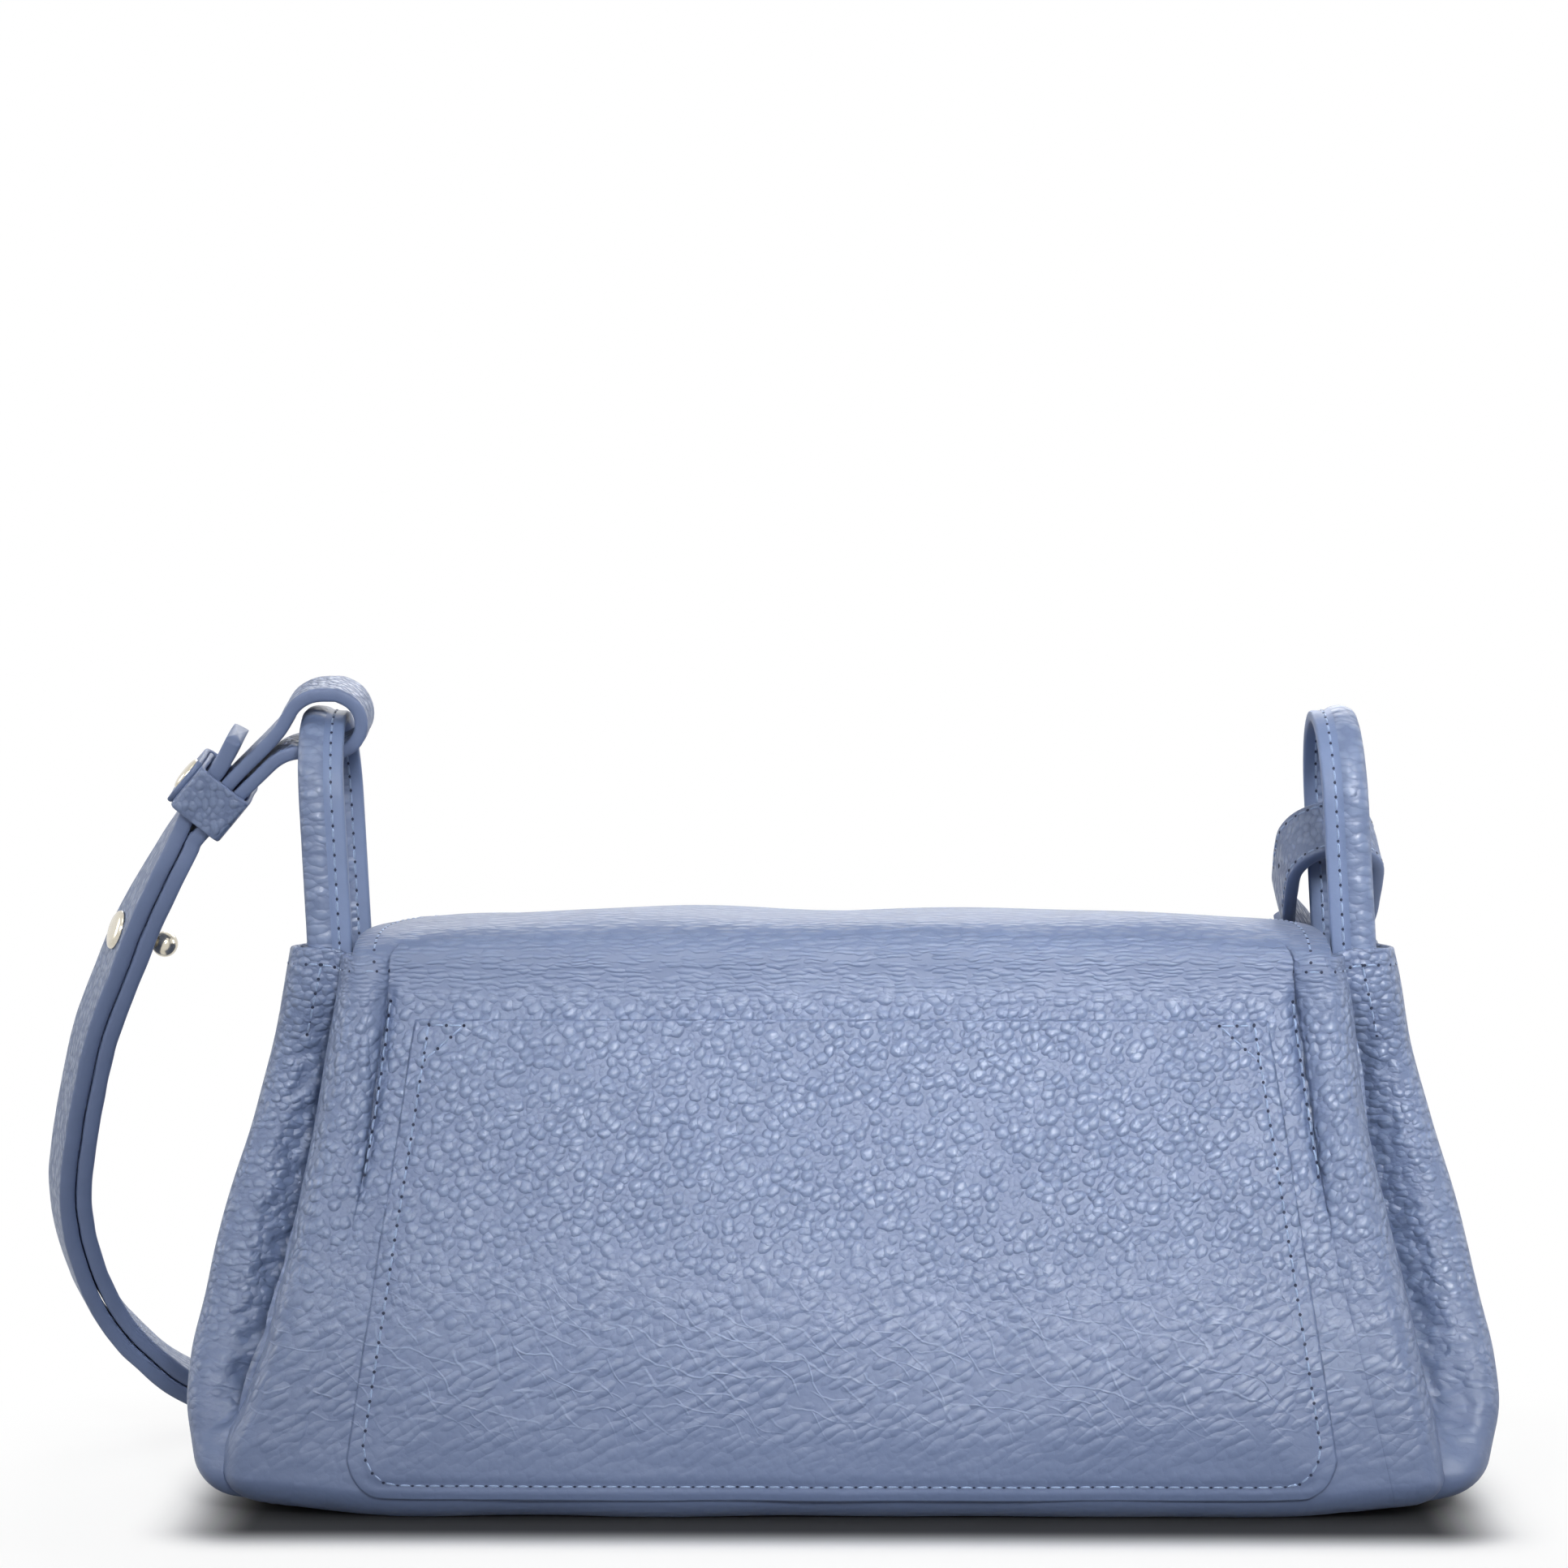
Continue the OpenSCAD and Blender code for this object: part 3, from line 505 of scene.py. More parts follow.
def panelHalf(z, s, side):  # plan points from the middle out to the valley, on one side
    pinch, roll = keyed(outline["pinch"], z), keyed(outline["roll"][s], z) - footIn(z)
    half, centre = (roll - pinch) / 2, (roll + pinch) / 2
    deep = outline["pinchDepth"] * smoothStep(62, 84, z) * (1 - 0.85 * smoothStep(112, 121, z))
    proud = 0.3 + 1.5 * smoothStep(55, 95, z) + 0.8 * smoothStep(100, 124, z)
    x1 = np.linspace(0, 1, flatCols, endpoint=False) ** 0.85 * (pinch - 0.01)
    y1 = faceY(x1 * s, np.full_like(x1, z), side) - deep * np.exp(-((pinch - x1) / 1.3) ** 2)
    base = faceY(np.array([pinch * s]), np.array([z]), side)[0]
    a = np.radians(np.linspace(180, 0, rollCols))
    x2 = centre + half * np.cos(a)
    inner = a > math.pi / 2
    sinA = np.sin(a)
    edge = base - half * 1.25
    y2 = np.where(inner, base - deep + (deep + proud) * np.maximum(sinA, 0) ** 0.75,
                  edge + (base + proud - edge) * np.maximum(sinA, 0) ** 0.9)
    valley = keyed(outline["valley"], z) - footIn(z)
    k = np.linspace(0, 1, sideCols + 1)[1:]
    deepValley = 6.5 * np.clip((z - 8) / 30, 0, 1)
    x3 = roll - deepValley * k**1.6
    y3 = edge + (min(valley, edge - 0.5) - edge) * k
    return np.concatenate([x1, x2, x3]), np.concatenate([y1, y2, y3])


def panelGrid(side):  # side -1 is the back, 1 the front
    rows = []
    for z in np.concatenate([rowHeights, [122.2, 123.3, 124.2, 124.8]]):
        right, left = panelHalf(z, 1, side), panelHalf(z, -1, side)
        x = np.concatenate([-left[0][::-1][:-1], right[0]])
        y = np.concatenate([left[1][::-1][:-1], right[1]])
        rows.append(np.stack([x, side * y, z + liftAt(x, z)], 1)[::-side])
    grid = np.array(rows)
    under = []
    for inset in (9.0, 5.0, 2.0):  # the leather turns under the base
        row = grid[0].copy()
        away = np.abs(row[:, 1]) > 10
        row[:, 1] -= np.where(away, np.sign(row[:, 1]) * inset, 0)
        row[:, 0] *= 1 - inset / 150
        row[:, 2] = row[:, 2] * 0.6 + 0.12 + inset * 0.02
        under.append(row)
    return np.concatenate([np.array(under), grid])


def normalsOf(grid):
    faces = gridFaces(*grid.shape[:2])
    return vertexNormals(grid.reshape(-1, 3), faces).reshape(grid.shape)


def onGrid(grid, normals, row, col):
    r0, c0 = np.floor(row).astype(int), np.floor(col).astype(int)
    r0, c0 = np.clip(r0, 0, grid.shape[0] - 2), np.clip(c0, 0, grid.shape[1] - 2)
    fr, fc = (row - r0)[:, None], (col - c0)[:, None]

    def mixed(g):
        return (g[r0, c0] * (1 - fr) * (1 - fc) + g[r0 + 1, c0] * fr * (1 - fc)
                + g[r0, c0 + 1] * (1 - fr) * fc + g[r0 + 1, c0 + 1] * fr * fc)
    return mixed(grid), unit(mixed(normals))


def wrinkled(grid, seed):  # soft folds in the panel
    x, z = np.abs(grid[..., 0]), grid[..., 2]
    nearPinch = smoothStep(94, 103, x) * (1 - smoothStep(109, 114, x)) * smoothStep(40, 66, z)
    lower = smoothStep(104, 116, x) * (1 - smoothStep(40, 76, z))
    folds = waves(grid, seed, 5.5, (3.0, 1, 0.8)) * 0.14 * nearPinch
    folds -= creases(grid, seed + 1, 9, (3.2, 1, 0.9), 0.16) * 0.16 * lower
    folds += waves(grid, seed + 2, 30, (1.3, 1, 1)) * 0.25
    return grid + normalsOf(grid) * folds[..., None]


print("back and front panels")
backGrid = wrinkled(panelGrid(-1), 11)
frontGrid = wrinkled(panelGrid(1), 31)
middleCol = backGrid.shape[1] // 2
seamRow = 3 + len(rowHeights) - 1
halfFlap = flatCols + 12  # the flap carries on from the back, between the two rolls' tops
keepPanel = np.ones((backGrid.shape[0] - 1, backGrid.shape[1] - 1), bool)
keepPanel[seamRow:, middleCol - halfFlap:middleCol + halfFlap] = False
backNormals = normalsOf(backGrid)
seamCols = np.arange(middleCol - halfFlap, middleCol + halfFlap + 1)
addSheet("backPanelLeather", backGrid, outline["thick"], bodyLeather, "back_panel", keep=keepPanel,
         normals=backNormals, flat=seamRow * backGrid.shape[1] + seamCols)
keepFront = np.ones_like(keepPanel)
keepFront[-6:] = False
addSheet("frontPanelLeather", frontGrid, outline["thick"], bodyLeather, "front_panel", keep=keepFront)

# gussets
gusset = {"cols": 46, "rows": 110, "top": 126.2, "drop": 2.6, "thick": 1.5,
          "notch": [(0, 0), (6, 1.2), (14, 5), (30, 9), (50, 12), (85, 11.5), (100, 8), (112, 3.5), (120, 0.8),
                    (126, 0)]}


def gussetHalf(z, s):  # plan points from the seam out over the ridge to the middle
    valley = keyed(outline["valley"], z) - footIn(z) - 0.5
    inner = keyed(outline["roll"][s], z) - footIn(z) - 6.2 * np.clip((z - 8) / 30, 0, 1)
    ridge = keyed(outline["ridge"], z) - footIn(z)
    notch = float(keyed(gusset["notch"], z))
    wide = ridge - inner
    dish = 3.2 * float(smoothStep(30, 126, z))
    marks = [(inner, valley), (inner + 0.14 * wide, valley - notch * 0.92), (inner + 0.3 * wide, valley - notch),
             (inner + 0.62 * wide, valley - notch * 0.62 - 0.5), (ridge - 2.2, valley - notch * 0.55 - 2.5),
             (ridge, valley - notch * 0.45 - 9), (ridge - 0.4 * dish, valley * 0.3), (ridge - dish, 0)]
    folded = evenly(smoothPath(marks, 8), 0.2)[0]
    e = 0.26 + 0.36 * np.clip(1.6 * (1 - z / 107), 0, 1)
    a = np.radians(np.linspace(90, 0, 90))
    plain = np.stack([inner + wide * np.cos(a) ** e, valley * np.sin(a) ** e], 1)
    found = []
    for path in (plain, folded):
        at = lengthAlong(path)
        marksAt = np.linspace(0, 1, gusset["cols"]) ** 1.15 * at[-1]
        found.append(np.stack([np.interp(marksAt, at, path[:, 0]), np.interp(marksAt, at, path[:, 1])], 1))
    k = float(smoothStep(3, 22, z))
    return found[0] * (1 - k) + found[1] * k


def gussetGrid(s):
    rows = []
    for z in np.concatenate([footHeights, np.linspace(6.5, gusset["top"], gusset["rows"])]):
        half = gussetHalf(z, s)
        row = np.concatenate([half * [1, -1], half[::-1][1:]])
        x, y = row[:, 0], row[:, 1]
        ridge = keyed(outline["ridge"], z)
        top = z - gusset["drop"] * smoothStep(ridge - 9, ridge - 19, x) * smoothStep(100, 126, z)
        rows.append(np.stack([x, y, top + liftAt(x, z)], 1))
    grid = np.array(rows)
    if s < 0:
        grid[..., 0] *= -1
        grid[..., 1] *= -1
    across, z = np.abs(grid[..., 0]), grid[..., 2]
    inner = keyed(outline["roll"][s], z) - 6
    outer = keyed(outline["ridge"], z)
    k = (across - inner) / (outer - inner)
    crumple = (1 - smoothStep(0.5, 0.95, k)) * smoothStep(8, 26, z) * (1 - smoothStep(98, 118, z))
    folds = -creases(grid, 71 + s, 8, (1.5, 1.5, 0.7), 0.2) * 0.8 * crumple
    folds += waves(grid, 73 + s, 6.5, (1, 1, 0.7)) * 0.4 * crumple
    folds += waves(grid, 75 + s, 24, (1, 1, 1.2)) * 0.3
    return grid + normalsOf(grid) * folds[..., None]


print("gussets")
gussets = {}
for s, name in ((-1, "left"), (1, "right")):
    gussets[s] = gussetGrid(s)
    addSheet(name + "GussetLeather", gussets[s], gusset["thick"], gussetLeather, name + "_gusset")

# base
print("base")
base = {"halfLong": 139, "halfDeep": 38.6, "round": 8, "above": 0.35, "thick": 1.4}
baseRows = []
for k in np.linspace(1, -1, 41):
    x = np.linspace(-1, 1, 90) * (base["halfLong"] - base["round"] * np.abs(k) ** 6)
    baseRows.append(np.stack([x, np.full_like(x, k * base["halfDeep"]), base["above"] + liftAt(x, 0) * 0.8], 1))
addSheet("baseLeather", np.array(baseRows), base["thick"], bodyLeather, "base_panel")

# back pocket
pocket = {"low": 5.4, "high": 110.6, "halfLow": 111.2, "halfHigh": 96.5, "corner": 8, "thick": 1.5, "inset": 2.8,
          "cols": 150}


def pocketHalf(z, inset=0.0):
    k = (z - pocket["low"]) / (pocket["high"] - pocket["low"])
    half = pocket["halfLow"] + (pocket["halfHigh"] - pocket["halfLow"]) * k - inset
    up = np.clip(z - pocket["low"] - inset, 0, None)
    corner = pocket["corner"]
    arc = np.sqrt(np.clip(corner**2 - (corner - up) ** 2, 0, None))
    return half - np.where(up < corner, corner - arc * 0.75 - up * 0.25, 0)


def pocketY(x, z):
    edge = np.minimum(pocketHalf(z) - np.abs(x), z - pocket["low"])
    puff = 0.7 * smoothStep(0, 3, edge) + 0.7 * smoothStep(3, 16, edge)
    dip = 0.55 * np.exp(-((edge - pocket["inset"]) / 1.0) ** 2)
    return faceY(x, z) + pocket["thick"] - 0.5 + puff - dip


def pocketRow(z):
    u = np.linspace(-1, 1, pocket["cols"])
    x = np.sign(u) * np.abs(u) ** 0.8 * pocketHalf(z)
    return np.stack([x, -pocketY(x, np.full_like(x, z)), z + liftAt(x, z)], 1)


print("pocket")
pocketHeights = np.concatenate([pocket["low"] + pocket["corner"] * (1 - np.cos(np.radians(np.linspace(0, 90, 12)))),
                                np.linspace(14.5, pocket["high"], 74)])
pocketGrid = np.array([pocketRow(z) for z in pocketHeights])
pocketGrid = pocketGrid + normalsOf(pocketGrid) * (waves(pocketGrid, 41, 22, (1.3, 1, 1)) * 0.16)[..., None]
addSheet("backPocketLeather", pocketGrid, pocket["thick"], pocketLeather, "back_pocket_panel")
pocketNormals = normalsOf(pocketGrid)
uPocket = np.linspace(-1, 1, pocketGrid.shape[1])
uPocket = np.sign(uPocket) * np.abs(uPocket) ** 0.8


def pocketSeam(x, z, pitch=stitch["pitch"]):
    cols = np.interp(x / pocketHalf(z), uPocket, np.arange(len(uPocket)))
    p, n = onGrid(pocketGrid, pocketNormals, np.interp(z, pocketHeights, np.arange(len(pocketHeights))), cols)
    stitched("bag", p, n, pitch)


inset = pocket["inset"]
cornerHeights = pocket["low"] + inset + pocket["corner"] * (1 - np.sin(np.radians(np.linspace(0, 90, 12))))
outlineHeights = np.concatenate([np.linspace(pocket["high"] - 0.6, cornerHeights[0], 40), cornerHeights[1:]])
half = pocketHalf(outlineHeights, inset)
lowX = np.linspace(-half[-1], half[-1], 60)[1:-1]
seamX = np.concatenate([-half, lowX, half[::-1]])
seamZ = np.concatenate([outlineHeights, np.full(len(lowX), pocket["low"] + inset), outlineHeights[::-1]])
pocketSeam(seamX, seamZ)
k = np.linspace(0, 1, 9)
for s in (-1, 1):  # triangles at the mouth's corners
    x0, z0 = s * (pocketHalf(pocket["high"]) - inset), pocket["high"] - 0.8
    pocketSeam(x0 - s * 8 * k, z0 + 0 * k, 4.0)
    pocketSeam(x0 - s * 8 * (1 - k) + s * 0.8 * k, z0 - 7.8 * k, 3.7)

# flap
flap = {"corner": 16, "sag": 3.3, "thick": 1.6, "edgeIn": 4.3, "stitchCorner": 11,
        "half": [(0, 110.4), (12, 110.8), (26, 110), (50, 104), (70, 101.5), (200, 101.5)]}
flapMarks = [(-31.2, 121), (-30.9, 124.4), (-29.6, 127.6), (-26.6, 130.7), (-21.4, 132.9), (-12, 134), (0, 134.3),
             (12, 134), (22, 133.4), (29, 131.8), (34, 128.6), (36.6, 124.6), (38.1, 119), (40.2, 109.6), (42, 100.2),
             (43.7, 90.9), (45.2, 81.5), (46.7, 72.1), (48.1, 62.7), (49.7, 52), (50.7, 45.2), (51.9, 36)]
flapLine = evenly(smoothPath(flapMarks, 8), 1.5)[0]
flapAt = lengthAlong(flapLine)
flapLong = flapAt[-1]


def flapHalf(v):
    half = keyed(flap["half"], v)
    up = np.clip(flapLong - v, 0, None)
    corner = flap["corner"]
    return half - np.where(up < corner, corner - np.sqrt(np.clip(corner**2 - (corner - up) ** 2, 0, None)), 0)


def flapRow(v, u, out=0.0):
    y, z = np.interp(v, flapAt, flapLine[:, 0]), np.interp(v, flapAt, flapLine[:, 1])
    t = unit([np.interp(v + 0.5, flapAt, each) - np.interp(v - 0.5, flapAt, each) for each in flapLine.T])
    y, z = y - out * t[1], z + out * t[0]
    x = u * flapHalf(v)
    sag = flap["sag"] * float(smoothStep(2, 14, v)) * float(1 - smoothStep(56, 74, v))
    return np.stack([x, np.full_like(x, y), z - sag * np.abs(u) ** 5], 1)


print("flap")
seam = backGrid[seamRow, seamCols]
uFlap = np.concatenate([-seam[:halfFlap, 0] / seam[0, 0], seam[halfFlap:, 0] / seam[-1, 0]])
straight = flapLong - flap["corner"]
flapV = np.concatenate([np.arange(0, straight, 1.5),
                        flapLong - flap["corner"] * np.cos(np.radians(np.linspace(6, 90, 14)))])
uEven = np.linspace(-1, 1, len(uFlap))
uRows = [uFlap + (uEven - uFlap) * smoothStep(2, 24, v) for v in flapV]
flapGrid = np.array([flapRow(v, u) for v, u in zip(flapV, uRows)])
away = (1 - smoothStep(0, 18, flapV))[:, None, None]
dents = waves(flapGrid, 51, 34, (1.5, 1, 1)) * 0.5 * smoothStep(4, 20, flapV)[:, None]
shift = away * (seam - flapGrid[0]) - normalsOf(flapGrid) * dents[..., None]
flapGrid = flapGrid + shift
flapNormals = normalsOf(flapGrid)
flapNormals[0] = backNormals[seamRow, seamCols]  # no visible seam
addSheet("flapLeather", flapGrid, flap["thick"], bodyLeather, "flap", body="flapLeather", normals=flapNormals,
         flat=range(len(uFlap)))
liningRows = slice(6, -1)  # the lining starts behind the seam and follows the leather's dents
flapLining = np.array([flapRow(v, u * 0.985, -1.75) for v, u in zip(flapV[liningRows], uRows[liningRows])])
addSheet("flapLiningCloth", flapLining + shift[liningRows], 0.7, liningCloth, "flap_lining", "lining", "flapLeather")


def flapSeam(v, x):  # a stitched line at arc lengths v and distances x from the middle
    row = np.interp(v, flapV, np.arange(len(flapV)))
    rows = np.array(uRows)[np.clip(np.round(row).astype(int), 0, len(uRows) - 1)]
    col = np.array([np.interp(share, each, np.arange(len(each))) for share, each in zip(x / flapHalf(v), rows)])
    return onGrid(flapGrid, flapNormals, row, col)


edgeIn, turnIn = flap["edgeIn"], flap["stitchCorner"]
v = np.concatenate([np.linspace(3.2, straight, 120),
                    flapLong - edgeIn - turnIn * np.cos(np.radians(np.linspace(0, 90, 16)))[1:]])
x = np.array([flapHalf(min(q, straight - 0.01)) for q in v]) - edgeIn
tail = v > straight
arc = np.sqrt(np.clip(1 - ((v[tail] - straight) / turnIn) ** 2, 0, 1))
x[tail] = flap["half"][-1][1] - edgeIn - turnIn * (1 - arc)
for s in (-1, 1):
    stitched("flapLeather", *flapSeam(v, s * x))
stitched("flapLeather", *flapSeam(np.full(60, v[-1]), np.linspace(-x[-1], x[-1], 60)))

# seams on the body
print("body seams")
bodySeam = {"pinchLow": 76, "pinchHigh": 115, "hemPitch": 3.4, "hemRow": 4, "holdIn": 119.4, "holdOut": 123.2}
frontNormals = normalsOf(frontGrid)
for grid, normals in ((backGrid, backNormals), (frontGrid, frontNormals)):
    zs = grid[:, middleCol, 2]
    rows = np.interp(np.linspace(bodySeam["pinchLow"], bodySeam["pinchHigh"], 30), zs, np.arange(len(zs)))
    for s in (-1, 1):
        p, n = onGrid(grid, normals, rows, np.full(30, middleCol + s * (flatCols - 0.6)))
        stitched("bag", p + n * 0.25, n)
for s in (-1, 1):  # hem of each roll
    cols = middleCol + s * np.linspace(flatCols + 1, flatCols + rollCols, 16)
    stitched("bag", *onGrid(backGrid, backNormals, np.full(16, seamRow + 0.8), cols), bodySeam["hemPitch"])
for s in (-1, 1):  # hem of each gusset, and the lines that hold the loops
    grid = gussets[s]
    normals = normalsOf(grid)
    row = grid.shape[0] - bodySeam["hemRow"]
    cols = np.linspace(2, grid.shape[1] - 3, 60)
    stitched("bag", *onGrid(grid, normals, np.full(60, row), cols), bodySeam["hemPitch"])
    for end in (slice(0, gusset["cols"] - 6), slice(gusset["cols"] + 5, None)):
        marks = np.linspace(row, row - 15, 12)
        cols = []
        for r, x in zip(marks, np.linspace(bodySeam["holdIn"], bodySeam["holdOut"], 12)):
            line = np.abs(grid[int(round(r)), :, 0])[end]
            at = np.arange(grid.shape[1])[end]
            order = np.argsort(line)
            cols.append(np.interp(x, line[order], at[order]))
        stitched("bag", *onGrid(grid, normals, marks, np.array(cols)))

# lining
print("lining")
lining = {"low": 5, "behindRoll": 10.5, "behindPanel": 3.2, "behindEnd": 4.2, "thick": 0.6}


def addLining(name, node, us, zs, place, turned=False, seed=0, length=0, deep=0):  # place gives the point at (u, z)
    grid = np.array([[place(u, z) for u in us] for z in zs])
    if turned:
        grid = grid[:, ::-1]
    if deep:
        grid = grid + normalsOf(grid) * (np.abs(waves(grid, seed, length, (1, 1, 1.6))) * deep)[..., None]
    addSheet(name, grid, lining["thick"], liningCloth, node, "lining")


def liningHalf(z):
    return keyed(outline["roll"][1], z) - lining["behindRoll"]


def liningDepth(z, side, behind):
    return keyed(outline["depth"][side], z) - behind


for side, name, node, top in ((-1, "liningBackCloth", "lining_back", 121.5),
                              (1, "liningFrontCloth", "lining_front", 116.5)):
    addLining(name, node, np.linspace(-1, 1, 60), np.linspace(lining["low"], top, 50),
              lambda u, z: [u * liningHalf(z), side * liningDepth(z, side, lining["behindPanel"]), z], side < 0,
              81 + side, 26, 0.5)
for s, name, node in ((-1, "liningLeftCloth", "lining_left"), (1, "liningRightCloth", "lining_right")):
    addLining(name, node, np.linspace(-1, 1, 40), np.linspace(lining["low"], 116.5, 50),
              lambda u, z: [s * (liningHalf(z) - 0.2), u * liningDepth(z, -1, lining["behindEnd"]), z], s > 0,
              85 + s, 24, 0.6)
addLining("liningBaseCloth", "lining_base", np.linspace(-120, 120, 80), np.linspace(-44, 44, 40),
          lambda x, y: [x, y, 4.3 + 0.15 * math.sin(x / 9) * math.cos(y / 7)])
addLining("innerPocketCloth", "inner_pocket", np.linspace(-60, 60, 50), np.linspace(46, 104, 30),
          lambda x, z: [x, -liningDepth(z, -1, 4.6 + 0.6 * math.cos(x / 120 * math.pi)), z], True)

# strap loops
loop = {"x": 117.8, "radius": 20.0, "centre": 160.0, "lean": 3.0, "foot": 118.5, "flange": 5.25, "rows": 150}


def loopSection():  # (across, thickness) points; positive across is towards the bag's middle
    a = np.radians(np.linspace(52, 308, 26))
    fold = [(-1.55 + 3.7 * math.cos(q), 2.5 * math.sin(q)) for q in a]
    flange = [(1.6, -1.45), (2.6, -1.3), (4.6, -1.25), (5.1, -1.0), (5.25, -0.4)]
    return np.array(fold + flange + [(across, -thick) for across, thick in flange[::-1]])


def loopPath():  # (y, z) and the outward direction, up one leg, over the arch and down the other
    rise = loop["centre"] - loop["foot"]
    total = 2 * rise + math.pi * loop["radius"]
    found = []
    for d in np.linspace(0, total, loop["rows"]):
        if d < rise:
            y, z, n = -loop["radius"], loop["foot"] + d, (-1, 0)
        elif d > total - rise:
            y, z, n = loop["radius"], loop["foot"] + total - d, (1, 0)
        else:
            a = (d - rise) / loop["radius"]
            n = (-math.cos(a), math.sin(a))
            y, z = loop["radius"] * n[0], loop["centre"] + loop["radius"] * n[1]
        found.append((y, z, *n))
    return np.array(found)


print("loops")
for s, name in ((-1, "left"), (1, "right")):
    line = loopPath()
    section = loopSection()
    lean = loop["lean"] * (line[:, 1] - 126) / 54
    mid = np.stack([s * loop["x"] - lean, line[:, 0], line[:, 1]], 1)
    out = np.stack([line[:, 0] * 0, line[:, 2], line[:, 3]], 1)
    toMiddle = np.array([-s, 0, 0.0])
    grid = mid[:, None] + section[None, :, :1] * toMiddle + section[None, :, 1:] * out[:, None]
    crinkle = (waves(grid.reshape(-1, 3), 63 + s, 4.5, (1.6, 1, 0.8)).reshape(grid.shape[:2]) * 0.1
               * (section[:, 0] < 1.4)[None, :])
    grid = grid + crinkle[..., None] * out[:, None]
    verts, faces, column = cappedTube(grid)
    kinds = np.concatenate([column >= 27, np.zeros(2 * len(section))])
    addPiece(name + "LoopLeather", verts, faces if s > 0 else [f[::-1] for f in faces], [loopLeather, flangeLeather],
             "bag", [name + "_loop", name + "_loop_core"], "body_leather", kinds)
    inside = slice(6, -6)
    for sign in (1, -1):
        p = mid + toMiddle * 2.35 + out * sign * 1.33
        stitched("bag", p[inside], (out * sign)[inside], 3.4, 0.55)

# the doubled strap
strap = {"width": 15.0, "thick": 3.7, "hookThick": 3.1, "apart": 2.05, "tail": 3.7, "through": 3.4, "stitchOut": 5.9}
leftHook = {"centre": np.array([-120.776, -4.499, 179.487]), "across": np.array([0, 0.97437, 0.224951]),
            "out": np.array([1.0, 0, 0]), "bend": np.array([0, -0.224951, 0.97437])}
rightHook = {"centre": np.array([116.2, 20, 142.0]), "across": np.array([-0.120144, 0.660793, 0.74089]),
             "out": np.array([0.992756, 0.0799698, 0.0896631]), "bend": np.array([0, -0.746295, 0.665615])}


def onHook(hook, points):
    return np.array([hook["centre"] + a * hook["out"] + b * hook["bend"] for a, b in points])


leftRun = unit([-0.64, -0.77])
leftSide = np.array([-leftRun[1], leftRun[0]])
leftKeeper = np.array([-26.3, -19.0])
reach = loop["flange"] - 2.85
leftFold = onHook(leftHook, [leftKeeper + 0.5 * leftRun, leftKeeper - 2 * leftRun, (-21.5, -13.6), (-17.1, -9.2),
                             (-12.9, -5), (-9.6, -1.4), (-7.9, 1.8), (-5.6, 4.8), (-2, 6.7), (reach, 7.0)]
                  + [(reach + 6.9 * math.cos(math.radians(k)), 0.1 + 6.9 * math.sin(math.radians(k)))
                     for k in (75, 45, 15, -15, -45, -75)]
                  + [(reach, -6.8), (-3, -6.6), (-7, -6.9), (-10.6, -8.5), (-14.5, -12), (-19, -16.4),
                     leftKeeper + strap["through"] * leftSide + leftRun])
leftTailStart = leftKeeper - strap["tail"] * leftSide
leftTail = onHook(leftHook, [leftTailStart + leftRun, leftTailStart - 7 * leftRun,
                             leftTailStart - np.array([-8.6, -12.8])])
arm = 10.15  # half the fold's width at its bend
rightFold = onHook(rightHook, [(0, -36.5), (0, -34), (0, -29.5), (-3.2, -22), (-7.6, -15), (-arm + 0.3, -9),
                               (-arm, -2)]
                   + [(arm * math.cos(math.radians(k)), 7 + arm * math.sin(math.radians(k)))
                      for k in np.arange(180, -1, -22.5)]
                   + [(arm, -2), (arm - 0.2, -9), (8.6, -15), (6, -22), (3.7, -29), (3.4, -37)])
rightTail = onHook(rightHook, [(-3.7, -37), (-3.8, -29.5), (-5.7, -26), (-8.4, -22)])
routeMarks = [(-147.1, -0.2, 161), (-153.5, 1.5, 153.5), (-159, 2, 144.1), (-166.1, 5.1, 131.4), (-170.5, 8, 121.9),
              (-175.8, 12, 109.9), (-179.5, 16, 99.9), (-184.5, 24, 80.9), (-187.5, 32, 64.5), (-186.5, 41, 48.4),
              (-181.5, 51, 32.3), (-173.5, 58, 21.1), (-164.4, 64, 13), (-149.9, 69.5, 7), (-129.9, 74.5, 4.2),
              (-104.9, 79.1, 3.9), (-60.4, 85, 3.9), (-15.1, 89.5, 3.9), (24.9, 91.3, 4.2), (55, 91.8, 7),
              (80, 91.8, 14.8), (96.9, 90.8, 28.9), (107.2, 88.2, 47), (112.5, 83.6, 68.1), (114.8, 76.5, 86.9),
              (115.4, 67.3, 103.5), (116.2, 54.3, 111.4), (116.2, 46.9, 118)]
route = smoothPath(routeMarks, 3)
share = np.arange(len(route)) / (len(route) - 1)
acrossKeys = np.array([leftHook["across"], (-0.35, 0.91, 0.2), (-0.35, 0.91, 0.2), (0, 1, 0), (0, 1, 0),
                       (0, 0.98, 0.2), (-0.1, 0.75, 0.66), rightHook["across"]])
acrossAt = [0, 0.12, 0.44, 0.5, 0.68, 0.74, 0.88, 1]
routeAlong = tangents(route)
hints = np.stack([np.interp(share, acrossAt, acrossKeys[:, c]) for c in range(3)], 1)
routeAcross = squared(hints, routeAlong)
routeOut = np.cross(routeAcross, routeAlong)


